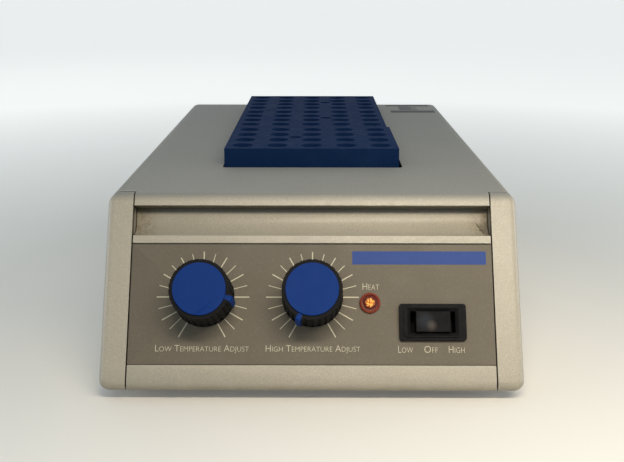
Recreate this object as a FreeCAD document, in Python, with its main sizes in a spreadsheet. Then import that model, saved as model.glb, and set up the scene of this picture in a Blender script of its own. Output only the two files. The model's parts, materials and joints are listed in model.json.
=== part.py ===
import FreeCAD, Part
import math
import os
import re
import Sketcher
from FreeCAD import Placement, Rotation, Vector

# A dry block heater for laboratory tubes: a painted sheet-metal case with a sloping control panel,
# and a long well in its deck that holds three drilled aluminium blocks on one heated plate.
# X runs to the user's right, Y to the back and Z up. The origin is on the bench, under the middle.

# Driving dimensions, in millimetres and degrees

SIZES = {
    # case
    "body_width": 195.0,
    "face_length": 95.2,
    "face_tilt": 28.9,
    "foot_height": 5.0,
    "skin": 1.2,
    "side_bend": 5.8,
    "edge_round": 3.5,
    "low_round": 4.5,
    "pan_round": 3.0,
    "seam": 0.5,
    "deck_seam": 1.1,
    "fit_gap": 0.3,
    # cheeks, the end caps of the sloping face
    "cheek_width": 12.9,
    "cheek_cap": 3.2,
    "cheek_depth": 14.0,
    # face, measured down the slope from the deck's edge
    "lip_depth": 5.8,
    "lip_return": 7.2,
    "groove_radius": 9.4,
    "groove_level": 11.2,
    "groove_out": 1.0,
    "groove_back": 11.2,
    "groove_back_low": 15.0,
    "recess_top": 24.3,
    "overlay_top": 24.9,
    "strip_depth": 13.8,
    "recess_depth": 1.6,
    "overlay_thick": 1.4,
    "face_wall": 2.5,
    "face_flange": 22.0,
    # pan and rear panel
    "pan_wall": 20.0,
    "pan_flange": 7.5,
    "rear_inset": 2.0,
    "rear_wall": 1.5,
    # heat blocks and their well
    "block_setback": 69.6,
    "rear_margin": 20.4,
    "block_proud": 9.3,
    "block_height": 50.8,
    "block_pitch": 76.2,
    "block_gap": 0.3,
    "block_side_gap": 0.6,
    "block_right_gap": 1.6,
    "block_step": 1.6,
    "front_block_width": 95.4,
    "tube_bore": 5.75,
    "tube_depth": 44.0,
    "column_pitch": 19.1,
    "row_pitch": 18.35,
    "columns": 5,
    "rows": 4,
    "probe_bore": 3.6,
    "probe_depth": 40.0,
    "opening_front_gap": 6.0,
    "opening_rear_gap": 4.0,
    "opening_round": 2.0,
    "liner_wall": 0.8,
    "liner_flange": 7.0,
    # heater stack
    "plate_rim": 5.0,
    "plate_thick": 6.35,
    "mat_inset": 9.0,
    "mat_thick": 1.5,
    "clamp_thick": 2.0,
    "spacer_radius": 4.0,
    "blanket_thick": 8.0,
    "pad_inset": 5.0,
    "pad_front": 46.0,
    "cutout_radius": 8.0,
    "cutout_height": 9.0,
    "probe_radius": 2.5,
    "probe_length": 40.0,
    "probe_inside": 28.0,
    # places of the controls, as shares of the panel's width to the right of its middle
    "low_share": -0.2955,
    "high_share": 0.0024,
    "lamp_share": 0.1602,
    "switch_share": 0.3304,
    # knobs and their controls
    "knob_from_bottom": 31.3,
    "low_rest_angle": 107.0,
    "high_rest_angle": -155.0,
    "knob_base_radius": 14.2,
    "knob_top_radius": 13.7,
    "knob_gap": 0.8,
    "knob_top": 20.6,
    "knob_hollow_radius": 9.4,
    "knob_hollow": 3.2,
    "flutes": 28,
    "flute_radius": 1.1,
    "flute_bite": 0.7,
    "nose_reach": 15.4,
    "nose_root": 8.0,
    "nose_inner": 11.0,
    "cap_radius": 11.9,
    "cap_seat": 2.2,
    "cap_front": 21.5,
    "tab_width": 2.6,
    "tab_neck": 1.6,
    "tab_thick": 0.9,
    "tab_low": 4.0,
    "tab_round": 1.2,
    "shaft_radius": 3.175,
    "shaft_gap": 0.05,
    "shaft_top": 16.0,
    "bushing_radius": 4.75,
    "bushing_top": 2.6,
    "pot_radius": 12.0,
    "pot_depth": 10.5,
    "lug_reach": 8.0,
    "lug_width": 2.4,
    "lug_thick": 0.8,
    "lug_pitch": 5.0,
    "nut_radius": 7.8,
    "nut_thick": 2.0,
    # lamp
    "lamp_below_knob": 2.8,
    "lamp_radius": 4.85,
    "lamp_dome": 2.6,
    "lamp_rim": 1.0,
    "lamp_neck": 3.9,
    "lamp_hole": 4.1,
    "lamp_body_radius": 5.2,
    "lamp_body_depth": 16.0,
    "lamp_bulb_radius": 2.2,
    # power switch
    "switch_from_bottom": 19.5,
    "switch_frame_width": 30.9,
    "switch_frame_height": 17.0,
    "switch_frame_thick": 2.0,
    "switch_frame_round": 1.4,
    "switch_rim_across": 3.0,
    "switch_rim_up": 2.1,
    "switch_rim_rise": 0.6,
    "switch_dish": 1.5,
    "switch_dish_angle": 60.0,
    "switch_body_width": 27.2,
    "switch_body_height": 13.2,
    "switch_body_depth": 20.0,
    "rocker_hole_width": 20.7,
    "rocker_hole_height": 10.0,
    "rocker_hole_depth": 11.0,
    "rocker_width": 15.6,
    "rocker_pivot_depth": 3.4,
    "rocker_rise": 5.6,
    "rocker_drop": 2.6,
    "rocker_dish": 1.1,
    "rocker_pin_radius": 1.25,
    "rocker_pin_length": 0.9,
    "spade_width": 6.3,
    "spade_thick": 0.8,
    "spade_length": 8.0,
    "spade_pitch": 8.5,
    # power inlet
    "inlet_height": 42.0,
    "inlet_flange_width": 26.0,
    "inlet_flange_height": 50.0,
    "inlet_flange_thick": 2.5,
    "inlet_body_width": 21.0,
    "inlet_body_height": 28.6,
    "inlet_body_depth": 22.0,
    "inlet_socket_width": 16.6,
    "inlet_socket_height": 24.2,
    "inlet_socket_depth": 17.0,
    "inlet_screw_pitch": 40.0,
    "inlet_pin_pitch": 7.0,
    "inlet_pin_offset": 2.0,
    "inlet_pin_width": 4.0,
    "inlet_pin_thick": 2.0,
    "inlet_pin_tip": 4.0,
    # fuse holder
    "fuse_level": 42.0,
    "holder_flange_radius": 9.0,
    "holder_flange_thick": 2.4,
    "holder_radius": 7.2,
    "holder_depth": 34.0,
    "holder_bore": 5.6,
    "holder_nut_radius": 10.4,
    "holder_nut_thick": 3.0,
    "carrier_radius": 5.3,
    "carrier_length": 26.0,
    "carrier_bore": 3.0,
    "fuse_radius": 2.6,
    "fuse_length": 20.0,
    "fuse_ferrule": 5.0,
    "fuse_cap_radius": 7.0,
    "fuse_cap_height": 6.6,
    "fuse_slot_width": 1.6,
    "fuse_slot_depth": 1.8,
    # electronics in the front bay
    "board_side_gap": 8.0,
    "board_length": 84.0,
    "board_front": 26.0,
    "board_depth": 52.0,
    "board_thick": 1.6,
    "board_lift": 6.0,
    "board_hole_inset": 5.0,
    "standoff_radius": 3.0,
    "sink_length": 30.0,
    "sink_depth": 12.0,
    "sink_height": 22.0,
    "sink_slots": 5,
    "triac_width": 10.0,
    "triac_height": 15.0,
    "triac_thick": 4.4,
    "can_radius": 5.0,
    "can_height": 14.0,
    "terminal_length": 40.0,
    "terminal_depth": 12.0,
    "terminal_height": 14.0,
    "core_gap": 8.0,
    "core_width": 44.0,
    "core_depth": 20.0,
    "core_height": 37.0,
    "coil_width": 28.0,
    "coil_depth": 32.0,
    "coil_height": 23.0,
    # feet and fasteners
    "foot_radius": 8.0,
    "foot_inset": 19.5,
    "foot_front": 34.0,
    "foot_rear": 26.0,
    "foot_bore": 2.2,
    "foot_sink": 3.0,
    "screw_radius": 1.9,
    "screw_head_radius": 3.4,
    "screw_head_thick": 1.6,
    "screw_cross_reach": 2.1,
    "screw_cross_width": 0.9,
    "screw_cross_depth": 0.8,
    "screw_grip": 6.0,
    "cover_screw_height": 9.0,
    "cover_screw_front": 62.0,
    "cover_screw_rear": 73.0,
    # wires
    "mains_wire_radius": 1.3,
    "lead_radius": 0.7,
}

# Levels and places worked out from the driving dimensions

PLACES = {
    "slope_sin": "sin(face_tilt)",
    "slope_cos": "cos(face_tilt)",
    "slope_tan": "tan(face_tilt)",
    "panel_width": "body_width - 2 * cheek_width",
    "deck_length": "block_setback + 3 * block_pitch + rear_margin",
    "deck_top": "foot_height + face_length * slope_cos",
    "deck_under": "deck_top - skin",
    "overlay_face": "overlay_thick - recess_depth",
    "overlay_bottom": "face_length - strip_depth",
    "knob_level": "overlay_bottom - knob_from_bottom",
    "nose_level": "knob_level - nose_reach * cos(high_rest_angle)",
    "front_reach": "nose_level * slope_sin + knob_top * slope_cos",
    "rear_reach": "deck_length - rear_inset + holder_flange_thick + fuse_cap_height",
    "deck_front": "(front_reach - rear_reach) / 2",
    "deck_rear": "deck_front + deck_length",
    "side_inner": "body_width / 2 - skin - fit_gap",
    "pan_under": "foot_height + face_wall",
    "pan_top": "pan_under + skin",
    "pan_front": "deck_front + (cheek_depth - (deck_top - pan_top) * slope_sin) / slope_cos + seam",
    "panel_rear": "deck_rear - rear_inset",
    "panel_inner": "panel_rear - rear_wall",
    "block_front": "deck_front + block_setback",
    "block_bottom": "deck_top + block_proud - block_height",
    "block_depth": "block_pitch - block_gap",
    "rear_block_width": "front_block_width - block_step",
    "opening_width": "block_side_gap + front_block_width + block_right_gap",
    "opening_left": "-opening_width / 2",
    "block_left": "opening_left + block_side_gap",
    "opening_front": "block_front - opening_front_gap",
    "opening_length": "3 * block_pitch + opening_front_gap + opening_rear_gap",
    "blanket_side": "opening_width / 2 + liner_wall + blanket_thick",
    "plate_left": "opening_left - plate_rim",
    "plate_width": "opening_width + 2 * plate_rim",
    "plate_front": "opening_front - plate_rim",
    "plate_length": "opening_length + 2 * plate_rim",
    "plate_under": "block_bottom - plate_thick",
    "mat_under": "plate_under - mat_thick",
    "clamp_under": "mat_under - clamp_thick",
    "probe_level": "block_bottom - plate_thick / 2",
    "low_across": "panel_width * low_share",
    "high_across": "panel_width * high_share",
    "lamp_across": "panel_width * lamp_share",
    "lamp_level": "knob_level + lamp_below_knob",
    "switch_across": "panel_width * switch_share",
    "switch_level": "overlay_bottom - switch_from_bottom",
    "rocker_pivot": "overlay_face + switch_frame_thick - rocker_pivot_depth",
    "inlet_across": "(blanket_side + side_inner) / 2",
    "fuse_across": "-(blanket_side + side_inner) / 2",
    "foot_across": "body_width / 2 - foot_inset",
    "board_left": "board_side_gap - side_inner",
    "board_start": "pan_front + board_front",
    "board_under": "pan_top + board_lift",
    "board_top": "board_under + board_thick",
    "core_left": "board_left + board_length + 2 * core_gap",
    "core_start": "plate_front - core_gap - (core_depth + coil_depth) / 2",
    "cover_screw_pitch": "(panel_inner - pan_front - cover_screw_front - cover_screw_rear) / 2",
    "cover_screw_level": "foot_height + cover_screw_height",
}

doc = FreeCAD.newDocument("block_heater")
sheet = doc.addObject("Spreadsheet::Sheet", "dims")
for row, (name, size) in enumerate(SIZES.items(), start=1):
    sheet.set("A%d" % row, name)
    sheet.set("B%d" % row, str(size))
    sheet.setAlias("B%d" % row, name)
for row, (name, formula) in enumerate(PLACES.items(), start=1):
    sheet.set("D%d" % row, name)
    sheet.set("E%d" % row, "=" + formula)
    sheet.setAlias("E%d" % row, name)
doc.recompute()

NAMES = set(SIZES) | set(PLACES)
WORD = re.compile("[a-z_]+")
parts = []


def bound(formula):
    """The formula with each of the sheet's names written as a reference to its cell."""
    refer = lambda word: "dims." + word.group() if word.group() in NAMES else word.group()
    return WORD.sub(refer, formula)


def value(name):
    """The number that the sheet holds under this name."""
    return float(sheet.get(name))


def tie(thing, formulas):
    """Bind the properties of an object to formulas of the sheet's names."""
    for path, formula in formulas.items():
        thing.setExpression(path, bound(formula))
    return thing


def put(thing, at):
    """Set an object's place from three formulas."""
    return tie(thing, {"Placement.Base." + axis: formula for axis, formula in zip("xyz", at)})


def on_face(thing, across="0", down="0"):
    """Lay an object made flat, with its own Y up the slope and Z outwards, on the sloping face."""
    thing.Placement = Placement(Vector(), Rotation(Vector(1, 0, 0), 1))
    tie(thing, {"Placement.Rotation.Angle": "90 - face_tilt"})
    back = "deck_front - (" + down + ") * slope_sin"
    return put(thing, (across, back, "deck_top - (" + down + ") * slope_cos"))


def keep(name, thing):
    """Make an object one of the sub-parts, under its own name."""
    thing.Label = name
    parts.append(thing)
    return thing


# Primitives and their combinations


def box(name, at, size):
    thing = doc.addObject("Part::Box", name)
    tie(thing, dict(zip(("Length", "Width", "Height"), size)))
    return put(thing, at)


def rod(name, at, radius, height, towards="z"):
    thing = doc.addObject("Part::Cylinder", name)
    turns = {"z": Rotation(), "x": Rotation(Vector(0, 1, 0), 90), "y": Rotation(Vector(1, 0, 0), -90)}
    thing.Placement = Placement(Vector(), turns[towards])
    tie(thing, {"Radius": radius, "Height": height})
    return put(thing, at)


def group(name, things):
    thing = doc.addObject("Part::Compound", name)
    thing.Links = things
    return thing


def fuse(name, things):
    thing = doc.addObject("Part::MultiFuse", name)
    thing.Shapes = things
    thing.Refine = True
    return thing


def cut(name, base, tools):
    thing = doc.addObject("Part::Cut", name)
    thing.Base = base
    thing.Tool = tools[0] if len(tools) == 1 else group(name + "_tools", tools)
    return thing


def common(name, first, second):
    thing = doc.addObject("Part::MultiCommon", name)
    thing.Shapes = [first, second]
    return thing


# Sketched features


def body(name):
    return doc.addObject("PartDesign::Body", name)


def origin_feature(owner, role):
    return next(feature for feature in owner.Origin.OriginFeatures if feature.Role == role)


def fix_point(sketch, line, end, rough, at):
    """Hold a sketch point at two formulas, measured from the sketch's origin."""
    for kind, start, formula in (("DistanceX", rough.x, at[0]), ("DistanceY", rough.y, at[1])):
        index = sketch.addConstraint(Sketcher.Constraint(kind, -1, 1, line, end, start))
        tie(sketch, {"Constraints[%d]" % index: formula})


def add_polygon(sketch, points):
    first = sketch.GeometryCount
    count = len(points)
    turns = [2 * math.pi * index / count for index in range(count)]
    rough = [Vector(50 * math.cos(turn), 50 * math.sin(turn), 0) for turn in turns]
    for index in range(count):
        sketch.addGeometry(Part.LineSegment(rough[index], rough[(index + 1) % count]))
    for index in range(count):
        after = first + (index + 1) % count
        sketch.addConstraint(Sketcher.Constraint("Coincident", first + index, 2, after, 1))
    for index in range(count):
        fix_point(sketch, first + index, 1, rough[index], points[index])


def add_circle(sketch, across, up, radius):
    index = sketch.addGeometry(Part.Circle(Vector(5, 5, 0), Vector(0, 0, 1), 2))
    fix_point(sketch, index, 3, Vector(5, 5, 0), (across, up))
    size = sketch.addConstraint(Sketcher.Constraint("Radius", index, 2))
    tie(sketch, {"Constraints[%d]" % size: radius})


def sketch_on(owner, name, plane, outlines, lift="0", turn="0"):
    """A sketch of outlines: a list of points is a polygon, and a tuple of three formulas is a circle."""
    sketch = owner.newObject("Sketcher::SketchObject", name)
    sketch.AttachmentSupport = (origin_feature(owner, plane), [""])
    sketch.MapMode = "FlatFace"
    tie(sketch, {"AttachmentOffset.Base.z": lift, "AttachmentOffset.Rotation.Angle": turn})
    for outline in outlines:
        if isinstance(outline, tuple):
            add_circle(sketch, *outline)
        else:
            add_polygon(sketch, outline)
    return sketch


def pad(owner, name, plane, outlines, length, lift="0", turn="0"):
    thing = owner.newObject("PartDesign::Pad", name)
    thing.Profile = sketch_on(owner, name + "_sketch", plane, outlines, lift, turn)
    return tie(thing, {"Length": length})


def pocket(owner, name, plane, outlines, depth, lift="0", turn="0"):
    thing = owner.newObject("PartDesign::Pocket", name)
    thing.Profile = sketch_on(owner, name + "_sketch", plane, outlines, lift, turn)
    return tie(thing, {"Length": depth})


def rounded(owner, name, radius, chosen):
    """Fillet the edges of a body's present shape that the test picks."""
    doc.recompute()
    base = owner.Tip
    names = ["Edge%d" % (index + 1) for index, edge in enumerate(base.Shape.Edges) if chosen(edge)]
    thing = owner.newObject("PartDesign::Fillet", name)
    thing.Base = (base, names)
    return tie(thing, {"Radius": radius})


def rectangle(left, right, low, high):
    """The four corners of an upright rectangle."""
    return [(left, low), (right, low), (right, high), (left, high)]


def centred(width, height, across="0", up="0"):
    """The four corners of a rectangle about a point."""
    sides = [across + sign + "(" + width + ") / 2" for sign in (" - ", " + ")]
    ends = [up + sign + "(" + height + ") / 2" for sign in (" - ", " + ")]
    return rectangle(sides[0], sides[1], ends[0], ends[1])


def wedge(inner_width, outer_width, inner, outer):
    """A tapering strip along Y, from one distance to another."""
    return [
        ("-" + inner_width + " / 2", inner),
        (inner_width + " / 2", inner),
        (outer_width + " / 2", outer),
        ("-" + outer_width + " / 2", outer),
    ]


def runs_along(edge, axis):
    """Is this a straight edge along X, Y or Z?"""
    direction = edge.Vertexes[-1].Point - edge.Vertexes[0].Point
    return edge.Curve.TypeId == "Part::GeomLine" and abs(direction.normalize()["xyz".index(axis)]) > 0.999


# The outer form of the case, and the same form drawn in by a wall


def case_form(name, inset, low, rear, bends):
    """A solid of the case's outline, drawn in by inset. bends lists the rounded corners wanted."""
    owner = body(name)
    slope = "deck_front + ((" + inset + ") - (deck_top - (" + low + ")) * slope_sin) / slope_cos"
    outline = [
        ("deck_front + (" + inset + ") * (1 - slope_sin) / slope_cos", "deck_top - (" + inset + ")"),
        (rear, "deck_top - (" + inset + ")"),
        (rear, low),
        (slope, low),
    ]
    width = "body_width - 2 * (" + inset + ")"
    pad(owner, name + "_solid", "YZ_Plane", [outline], width, "-(" + width + ") / 2")
    middle = value("deck_top") / 2
    top = lambda edge: edge.CenterOfMass.z > middle
    rounded(owner, name + "_sides", "side_bend - (" + inset + ")", lambda e: runs_along(e, "y") and top(e))
    low_edges = lambda e: runs_along(e, "y") and not top(e)
    rounded(owner, name + "_low", "low_round - (" + inset + ")", low_edges)
    if "face" in bends:
        tilt = math.radians(value("face_tilt"))
        outwards = Vector(0, -math.cos(tilt), math.sin(tilt))
        corner = Vector(0, value("deck_front"), value("deck_top"))
        in_face = lambda edge: all(abs((v.Point - corner).dot(outwards)) < 0.01 for v in edge.Vertexes)
        rounded(owner, name + "_face", "edge_round", in_face)
    else:
        front = value("deck_front") + 2 * value("skin")
        leading = lambda e: runs_along(e, "x") and top(e) and e.CenterOfMass.y < front
        rounded(owner, name + "_front", "edge_round - (" + inset + ")", leading)
    return owner


def make_top_cover():
    """Deck, both sides and the folded lip over the finger groove, from one sheet."""
    outer = case_form("cover_outer", "0", "foot_height", "deck_rear", "edge")
    inner = case_form("cover_inner", "skin", "foot_height + skin", "deck_rear + skin", "edge")
    below_at = ("low_round - body_width / 2", "deck_front - face_length", "foot_height - skin")
    below_size = ("body_width - 2 * low_round", "deck_length + 2 * face_length", "2 * skin + low_round")
    shell = cut("cover_shell", outer, [inner, box("cover_below", below_at, below_size)])
    window = on_face(body("cover_window"))
    reach = "body_width"
    cut_depth = "cheek_cap + deck_seam"
    below = rectangle("-" + reach, reach, "-" + reach, "-lip_depth")
    pad(window, "window_low", "XY_Plane", [below], cut_depth + " + skin", "-(" + cut_depth + ")")
    for side, sign in (("left", "-"), ("right", "")):
        edge = sign + "panel_width / 2"
        ends = rectangle(edge, sign + reach, "-lip_depth - skin", "body_width / 4")
        pad(window, "window_" + side, "XY_Plane", [ends], cut_depth + " + 4 * skin", "-(" + cut_depth + ")")
    opened = cut("cover_opened", shell, [window])
    fold = on_face(body("cover_fold"))
    strip = rectangle("-panel_width / 2", "panel_width / 2", "-lip_depth", "skin - lip_depth")
    pad(fold, "fold_strip", "XY_Plane", [strip], "lip_return - skin / 2", "-lip_return")
    joined = fuse("cover_joined", [opened, fold])
    well = body("cover_well")
    hole_rear = "opening_front + opening_length"
    hole = rectangle("opening_left", "opening_left + opening_width", "opening_front", hole_rear)
    pad(well, "well_hole", "XY_Plane", [hole], "3 * skin", "deck_top - 2 * skin")
    rounded(well, "well_corners", "opening_round", lambda edge: runs_along(edge, "z"))
    tools = [well]
    for side, start in (("left", "-body_width / 2 - skin"), ("right", "side_inner - fit_gap")):
        for index in range(3):
            at = (start, cover_screw_place(index), "cover_screw_level")
            radius = "screw_radius + fit_gap"
            tools.append(rod("cover_hole_%s_%d" % (side, index), at, radius, "3 * skin", "x"))
    keep("top_cover", cut("top_cover", joined, tools))


def cover_screw_place(index):
    return "pan_front + cover_screw_front + %d * cover_screw_pitch" % index


def make_cheek(name, sign):
    """An end cap of the sloping face, with a tongue that plugs into the cover."""
    form = case_form(name + "_form", "0", "foot_height", "deck_rear", "face")
    inset = "skin + fit_gap"
    inner = case_form(name + "_inner", inset, "foot_height + " + inset, "deck_rear", "edge")
    inner_edge = sign + "(panel_width / 2 + seam)"
    outer_edge = sign + "(body_width / 2 + skin)"
    area = rectangle(inner_edge, outer_edge, "-face_length - skin", "body_width / 4")
    front = on_face(body(name + "_front"))
    pad(front, name + "_slab", "XY_Plane", [area], "cheek_cap + 4 * skin", "-cheek_cap")
    back = on_face(body(name + "_back"))
    pad(back, name + "_core", "XY_Plane", [area], "cheek_depth - cheek_cap", "-cheek_depth")
    cap = common(name + "_cap", form, front)
    tongue = common(name + "_tongue", inner, back)
    keep(name, fuse(name, [cap, tongue]))


def make_front_bezel():
    """The face between the cheeks: finger groove, ridge, panel seat and the flange under the case."""
    bezel = on_face(body("front_bezel"))
    tip_y = "face_flange * slope_sin - face_length"
    tip_z = "-face_flange * slope_cos"
    outline = [
        ("-lip_depth", "-groove_back"),
        ("-lip_depth", "0"),
        ("-face_length", "0"),
        (tip_y, tip_z),
        (tip_y + " + face_wall * slope_cos", tip_z + " + face_wall * slope_sin"),
        ("face_wall * (slope_cos + (1 + slope_sin) * slope_tan) - face_length", "-face_wall"),
        ("-recess_top", "-face_wall"),
        ("-groove_back_low", "-groove_back"),
    ]
    pad(bezel, "bezel_section", "YZ_Plane", [outline], "panel_width", "-panel_width / 2")
    lowest = lambda e: abs(e.CenterOfMass.y + value("face_length")) < 0.01 and abs(e.CenterOfMass.z) < 0.01
    rounded(bezel, "bezel_low_edge", "edge_round", lambda e: runs_along(e, "x") and lowest(e))
    groove = [("-groove_level", "groove_out", "groove_radius")]
    pocket(bezel, "finger_groove", "YZ_Plane", groove, "panel_width", "panel_width / 2")
    seat = rectangle("-panel_width", "panel_width", "-overlay_bottom - seam / 2", "-recess_top")
    pocket(bezel, "panel_seat", "XY_Plane", [seat], "recess_depth + skin", "skin")
    holes = face_holes()
    pocket(bezel, "face_holes", "XY_Plane", holes, "face_wall + skin", "skin / 2")
    keep("front_bezel", bezel)


def face_holes():
    """The holes in the face and its overlay: two controls, the lamp and the switch."""
    switch_room = ("switch_body_width + fit_gap", "switch_body_height + fit_gap")
    return [
        ("low_across", "-knob_level", "bushing_radius + fit_gap / 2"),
        ("high_across", "-knob_level", "bushing_radius + fit_gap / 2"),
        ("lamp_across", "-lamp_level", "lamp_hole"),
        centred(*switch_room, "switch_across", "-switch_level"),
    ]


def make_control_overlay():
    """The printed plate that covers the face between the ridge and the bottom strip."""
    overlay = on_face(body("control_overlay"))
    outline = rectangle("-panel_width / 2", "panel_width / 2", "-overlay_bottom", "-overlay_top")
    pad(overlay, "overlay_plate", "XY_Plane", [outline] + face_holes(), "overlay_thick", "-recess_depth")
    keep("control_overlay", overlay)


def make_base_pan():
    """The floor of the case, with upturned sides for the cover's screws."""
    left = "-side_inner"
    length = "panel_rear - pan_front"
    floor = box("pan_floor", (left, "pan_front", "pan_under"), ("2 * side_inner", length, "skin"))
    walls = []
    wall_start = "pan_wall * slope_tan"
    for side, x in (("left", left), ("right", "side_inner - skin")):
        size = ("skin", length + " - " + wall_start, "pan_wall")
        walls.append(box("pan_wall_" + side, (x, "pan_front + " + wall_start, "pan_under"), size))
    flat = fuse("pan_flat", [floor] + walls)
    bend = body("pan_bend")
    section = rectangle("-side_inner", "side_inner", "pan_under", "pan_under + pan_wall")
    pad(bend, "pan_section", "XZ_Plane", [section], length, "-panel_rear")
    lower = lambda e: runs_along(e, "y") and e.CenterOfMass.z < value("pan_top")
    rounded(bend, "pan_corners", "pan_round", lower)
    whole = common("pan_whole", flat, bend)
    holes = []
    for side, x in (("left", "-side_inner - skin"), ("right", "side_inner - 2 * skin")):
        for index in range(3):
            at = (x, cover_screw_place(index), "cover_screw_level")
            holes.append(rod("pan_hole_%s_%d" % (side, index), at, "screw_radius", "3 * skin", "x"))
    for name, x, y in foot_places():
        at = (x, y, "pan_under - skin")
        holes.append(rod("pan_foot_hole_" + name, at, "foot_bore", "3 * skin"))
    keep("base_pan", cut("base_pan", whole, holes))


def foot_places():
    """Name and place of each foot."""
    front = "pan_front + foot_front"
    rear = "panel_inner - foot_rear"
    return [
        ("front_left", "-foot_across", front),
        ("front_right", "foot_across", front),
        ("rear_left", "-foot_across", rear),
        ("rear_right", "foot_across", rear),
    ]


def screw(name, seat, axis, side, radius, grip):
    """A cross-head screw seated at a point, with its head on the side +1 or -1 along the axis."""
    index = "xyz".index(axis)

    def moved(shift):
        return tuple(place + shift if turn == index else place for turn, place in enumerate(seat))

    outwards = side > 0
    head_at = moved("" if outwards else " - screw_head_thick")
    head = rod(name + "_head", head_at, "screw_head_radius", "screw_head_thick", axis)
    stem = rod(name + "_stem", moved(" - (" + grip + ")" if outwards else ""), radius, grip, axis)
    top = " + screw_head_thick - screw_cross_depth" if outwards else " - screw_head_thick - skin"
    bars = []
    for turn in range(2):
        size = ["2 * screw_cross_reach", "screw_cross_width"][:: 1 - 2 * turn]
        size.insert(index, "screw_cross_depth + skin")
        place = []
        for number, (start, length) in enumerate(zip(moved(top), size)):
            place.append(start if number == index else start + " - (" + length + ") / 2")
        bars.append(box("%s_bar_%d" % (name, turn), tuple(place), tuple(size)))
    return cut(name, fuse(name + "_solid", [head, stem]), bars)


def make_feet():
    """Rubber feet under the pan, each held by a screw from below."""
    feet = []
    screws = []
    for name, x, y in foot_places():
        pad_round = rod("foot_" + name, (x, y, "0"), "foot_radius", "pan_under")
        sink = rod("foot_sink_" + name, (x, y, "-skin"), "screw_head_radius + fit_gap", "foot_sink + skin")
        bore = rod("foot_bore_" + name, (x, y, "foot_sink - skin"), "foot_bore", "pan_under")
        feet.append(cut("rubber_foot_" + name, pad_round, [fuse("foot_hollow_" + name, [sink, bore])]))
        grip = "pan_top - foot_sink + skin"
        screws.append(screw("foot_screw_" + name, (x, y, "foot_sink"), "z", -1, "screw_radius", grip))
    keep("rubber_feet", group("rubber_feet", feet))
    keep("foot_screws", group("foot_screws", screws))


def make_cover_screws():
    """Six screws through the cover's sides into the pan."""
    screws = []
    for name, x, side in (("left", "-body_width / 2", -1), ("right", "body_width / 2", 1)):
        for index in range(3):
            seat = (x, cover_screw_place(index), "cover_screw_level")
            full_name = "cover_screw_%s_%d" % (name, index)
            screws.append(screw(full_name, seat, "x", side, "screw_radius - fit_gap / 6", "screw_grip"))
    keep("cover_screws", group("cover_screws", screws))


def make_rear_panel():
    """The back of the case, standing on the pan, with the inlet's and the fuse holder's cutouts."""
    width = "2 * (side_inner - skin - fit_gap)"
    wall = body("panel_wall")
    sheet_outline = rectangle("-" + width + " / 2", width + " / 2", "pan_top", "deck_under - fit_gap")
    pad(wall, "wall_sheet", "XZ_Plane", [sheet_outline], "rear_wall", "-panel_rear")
    upper = lambda e: runs_along(e, "y") and e.CenterOfMass.z > value("deck_top") / 2
    rounded(wall, "wall_corners", "side_bend - skin", upper)
    foot_at = ("-side_inner + skin + fit_gap", "panel_inner - pan_flange", "pan_top")
    flange = box("panel_foot", foot_at, (width, "pan_flange + rear_wall / 2", "rear_wall"))
    plate = fuse("panel_plate", [wall, flange])
    through = "3 * rear_wall"
    start = "panel_inner - rear_wall"
    size = ("inlet_body_width + fit_gap", through, "inlet_body_height + fit_gap")
    at = (
        "inlet_across - (inlet_body_width + fit_gap) / 2",
        start,
        "inlet_height - (inlet_body_height + fit_gap) / 2",
    )
    holes = [box("inlet_cutout", at, size)]
    for name, z in inlet_screw_levels():
        holes.append(rod("inlet_hole_" + name, ("inlet_across", start, z), "screw_radius", through, "y"))
    fuse_at = ("fuse_across", start, "fuse_level")
    holes.append(rod("fuse_cutout", fuse_at, "holder_radius + fit_gap / 2", through, "y"))
    keep("rear_panel", cut("rear_panel", plate, holes))


def inlet_screw_levels():
    return [
        ("low", "inlet_height - inlet_screw_pitch / 2"),
        ("high", "inlet_height + inlet_screw_pitch / 2"),
    ]


# The well, the blocks and the heater under them


def make_well_liner():
    """The open-ended sleeve that lines the well, hung from the deck and standing on the heater plate."""
    wall_at = ("opening_left - liner_wall", "opening_front - liner_wall", "block_bottom")
    grown = ("opening_width + 2 * liner_wall", "opening_length + 2 * liner_wall")
    wall = box("liner_wall_solid", wall_at, grown + ("deck_under - block_bottom",))
    flange_at = ("opening_left - liner_flange", "opening_front - liner_flange", "deck_under - liner_wall")
    spread = ("opening_width + 2 * liner_flange", "opening_length + 2 * liner_flange")
    flange = box("liner_flange_solid", flange_at, spread + ("liner_wall",))
    solid = fuse("liner_solid", [wall, flange])
    inside_at = ("opening_left", "opening_front", "block_bottom - skin")
    inside = box("liner_inside", inside_at, ("opening_width", "opening_length", "block_height"))
    keep("well_liner", cut("well_liner", solid, [inside]))


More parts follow.
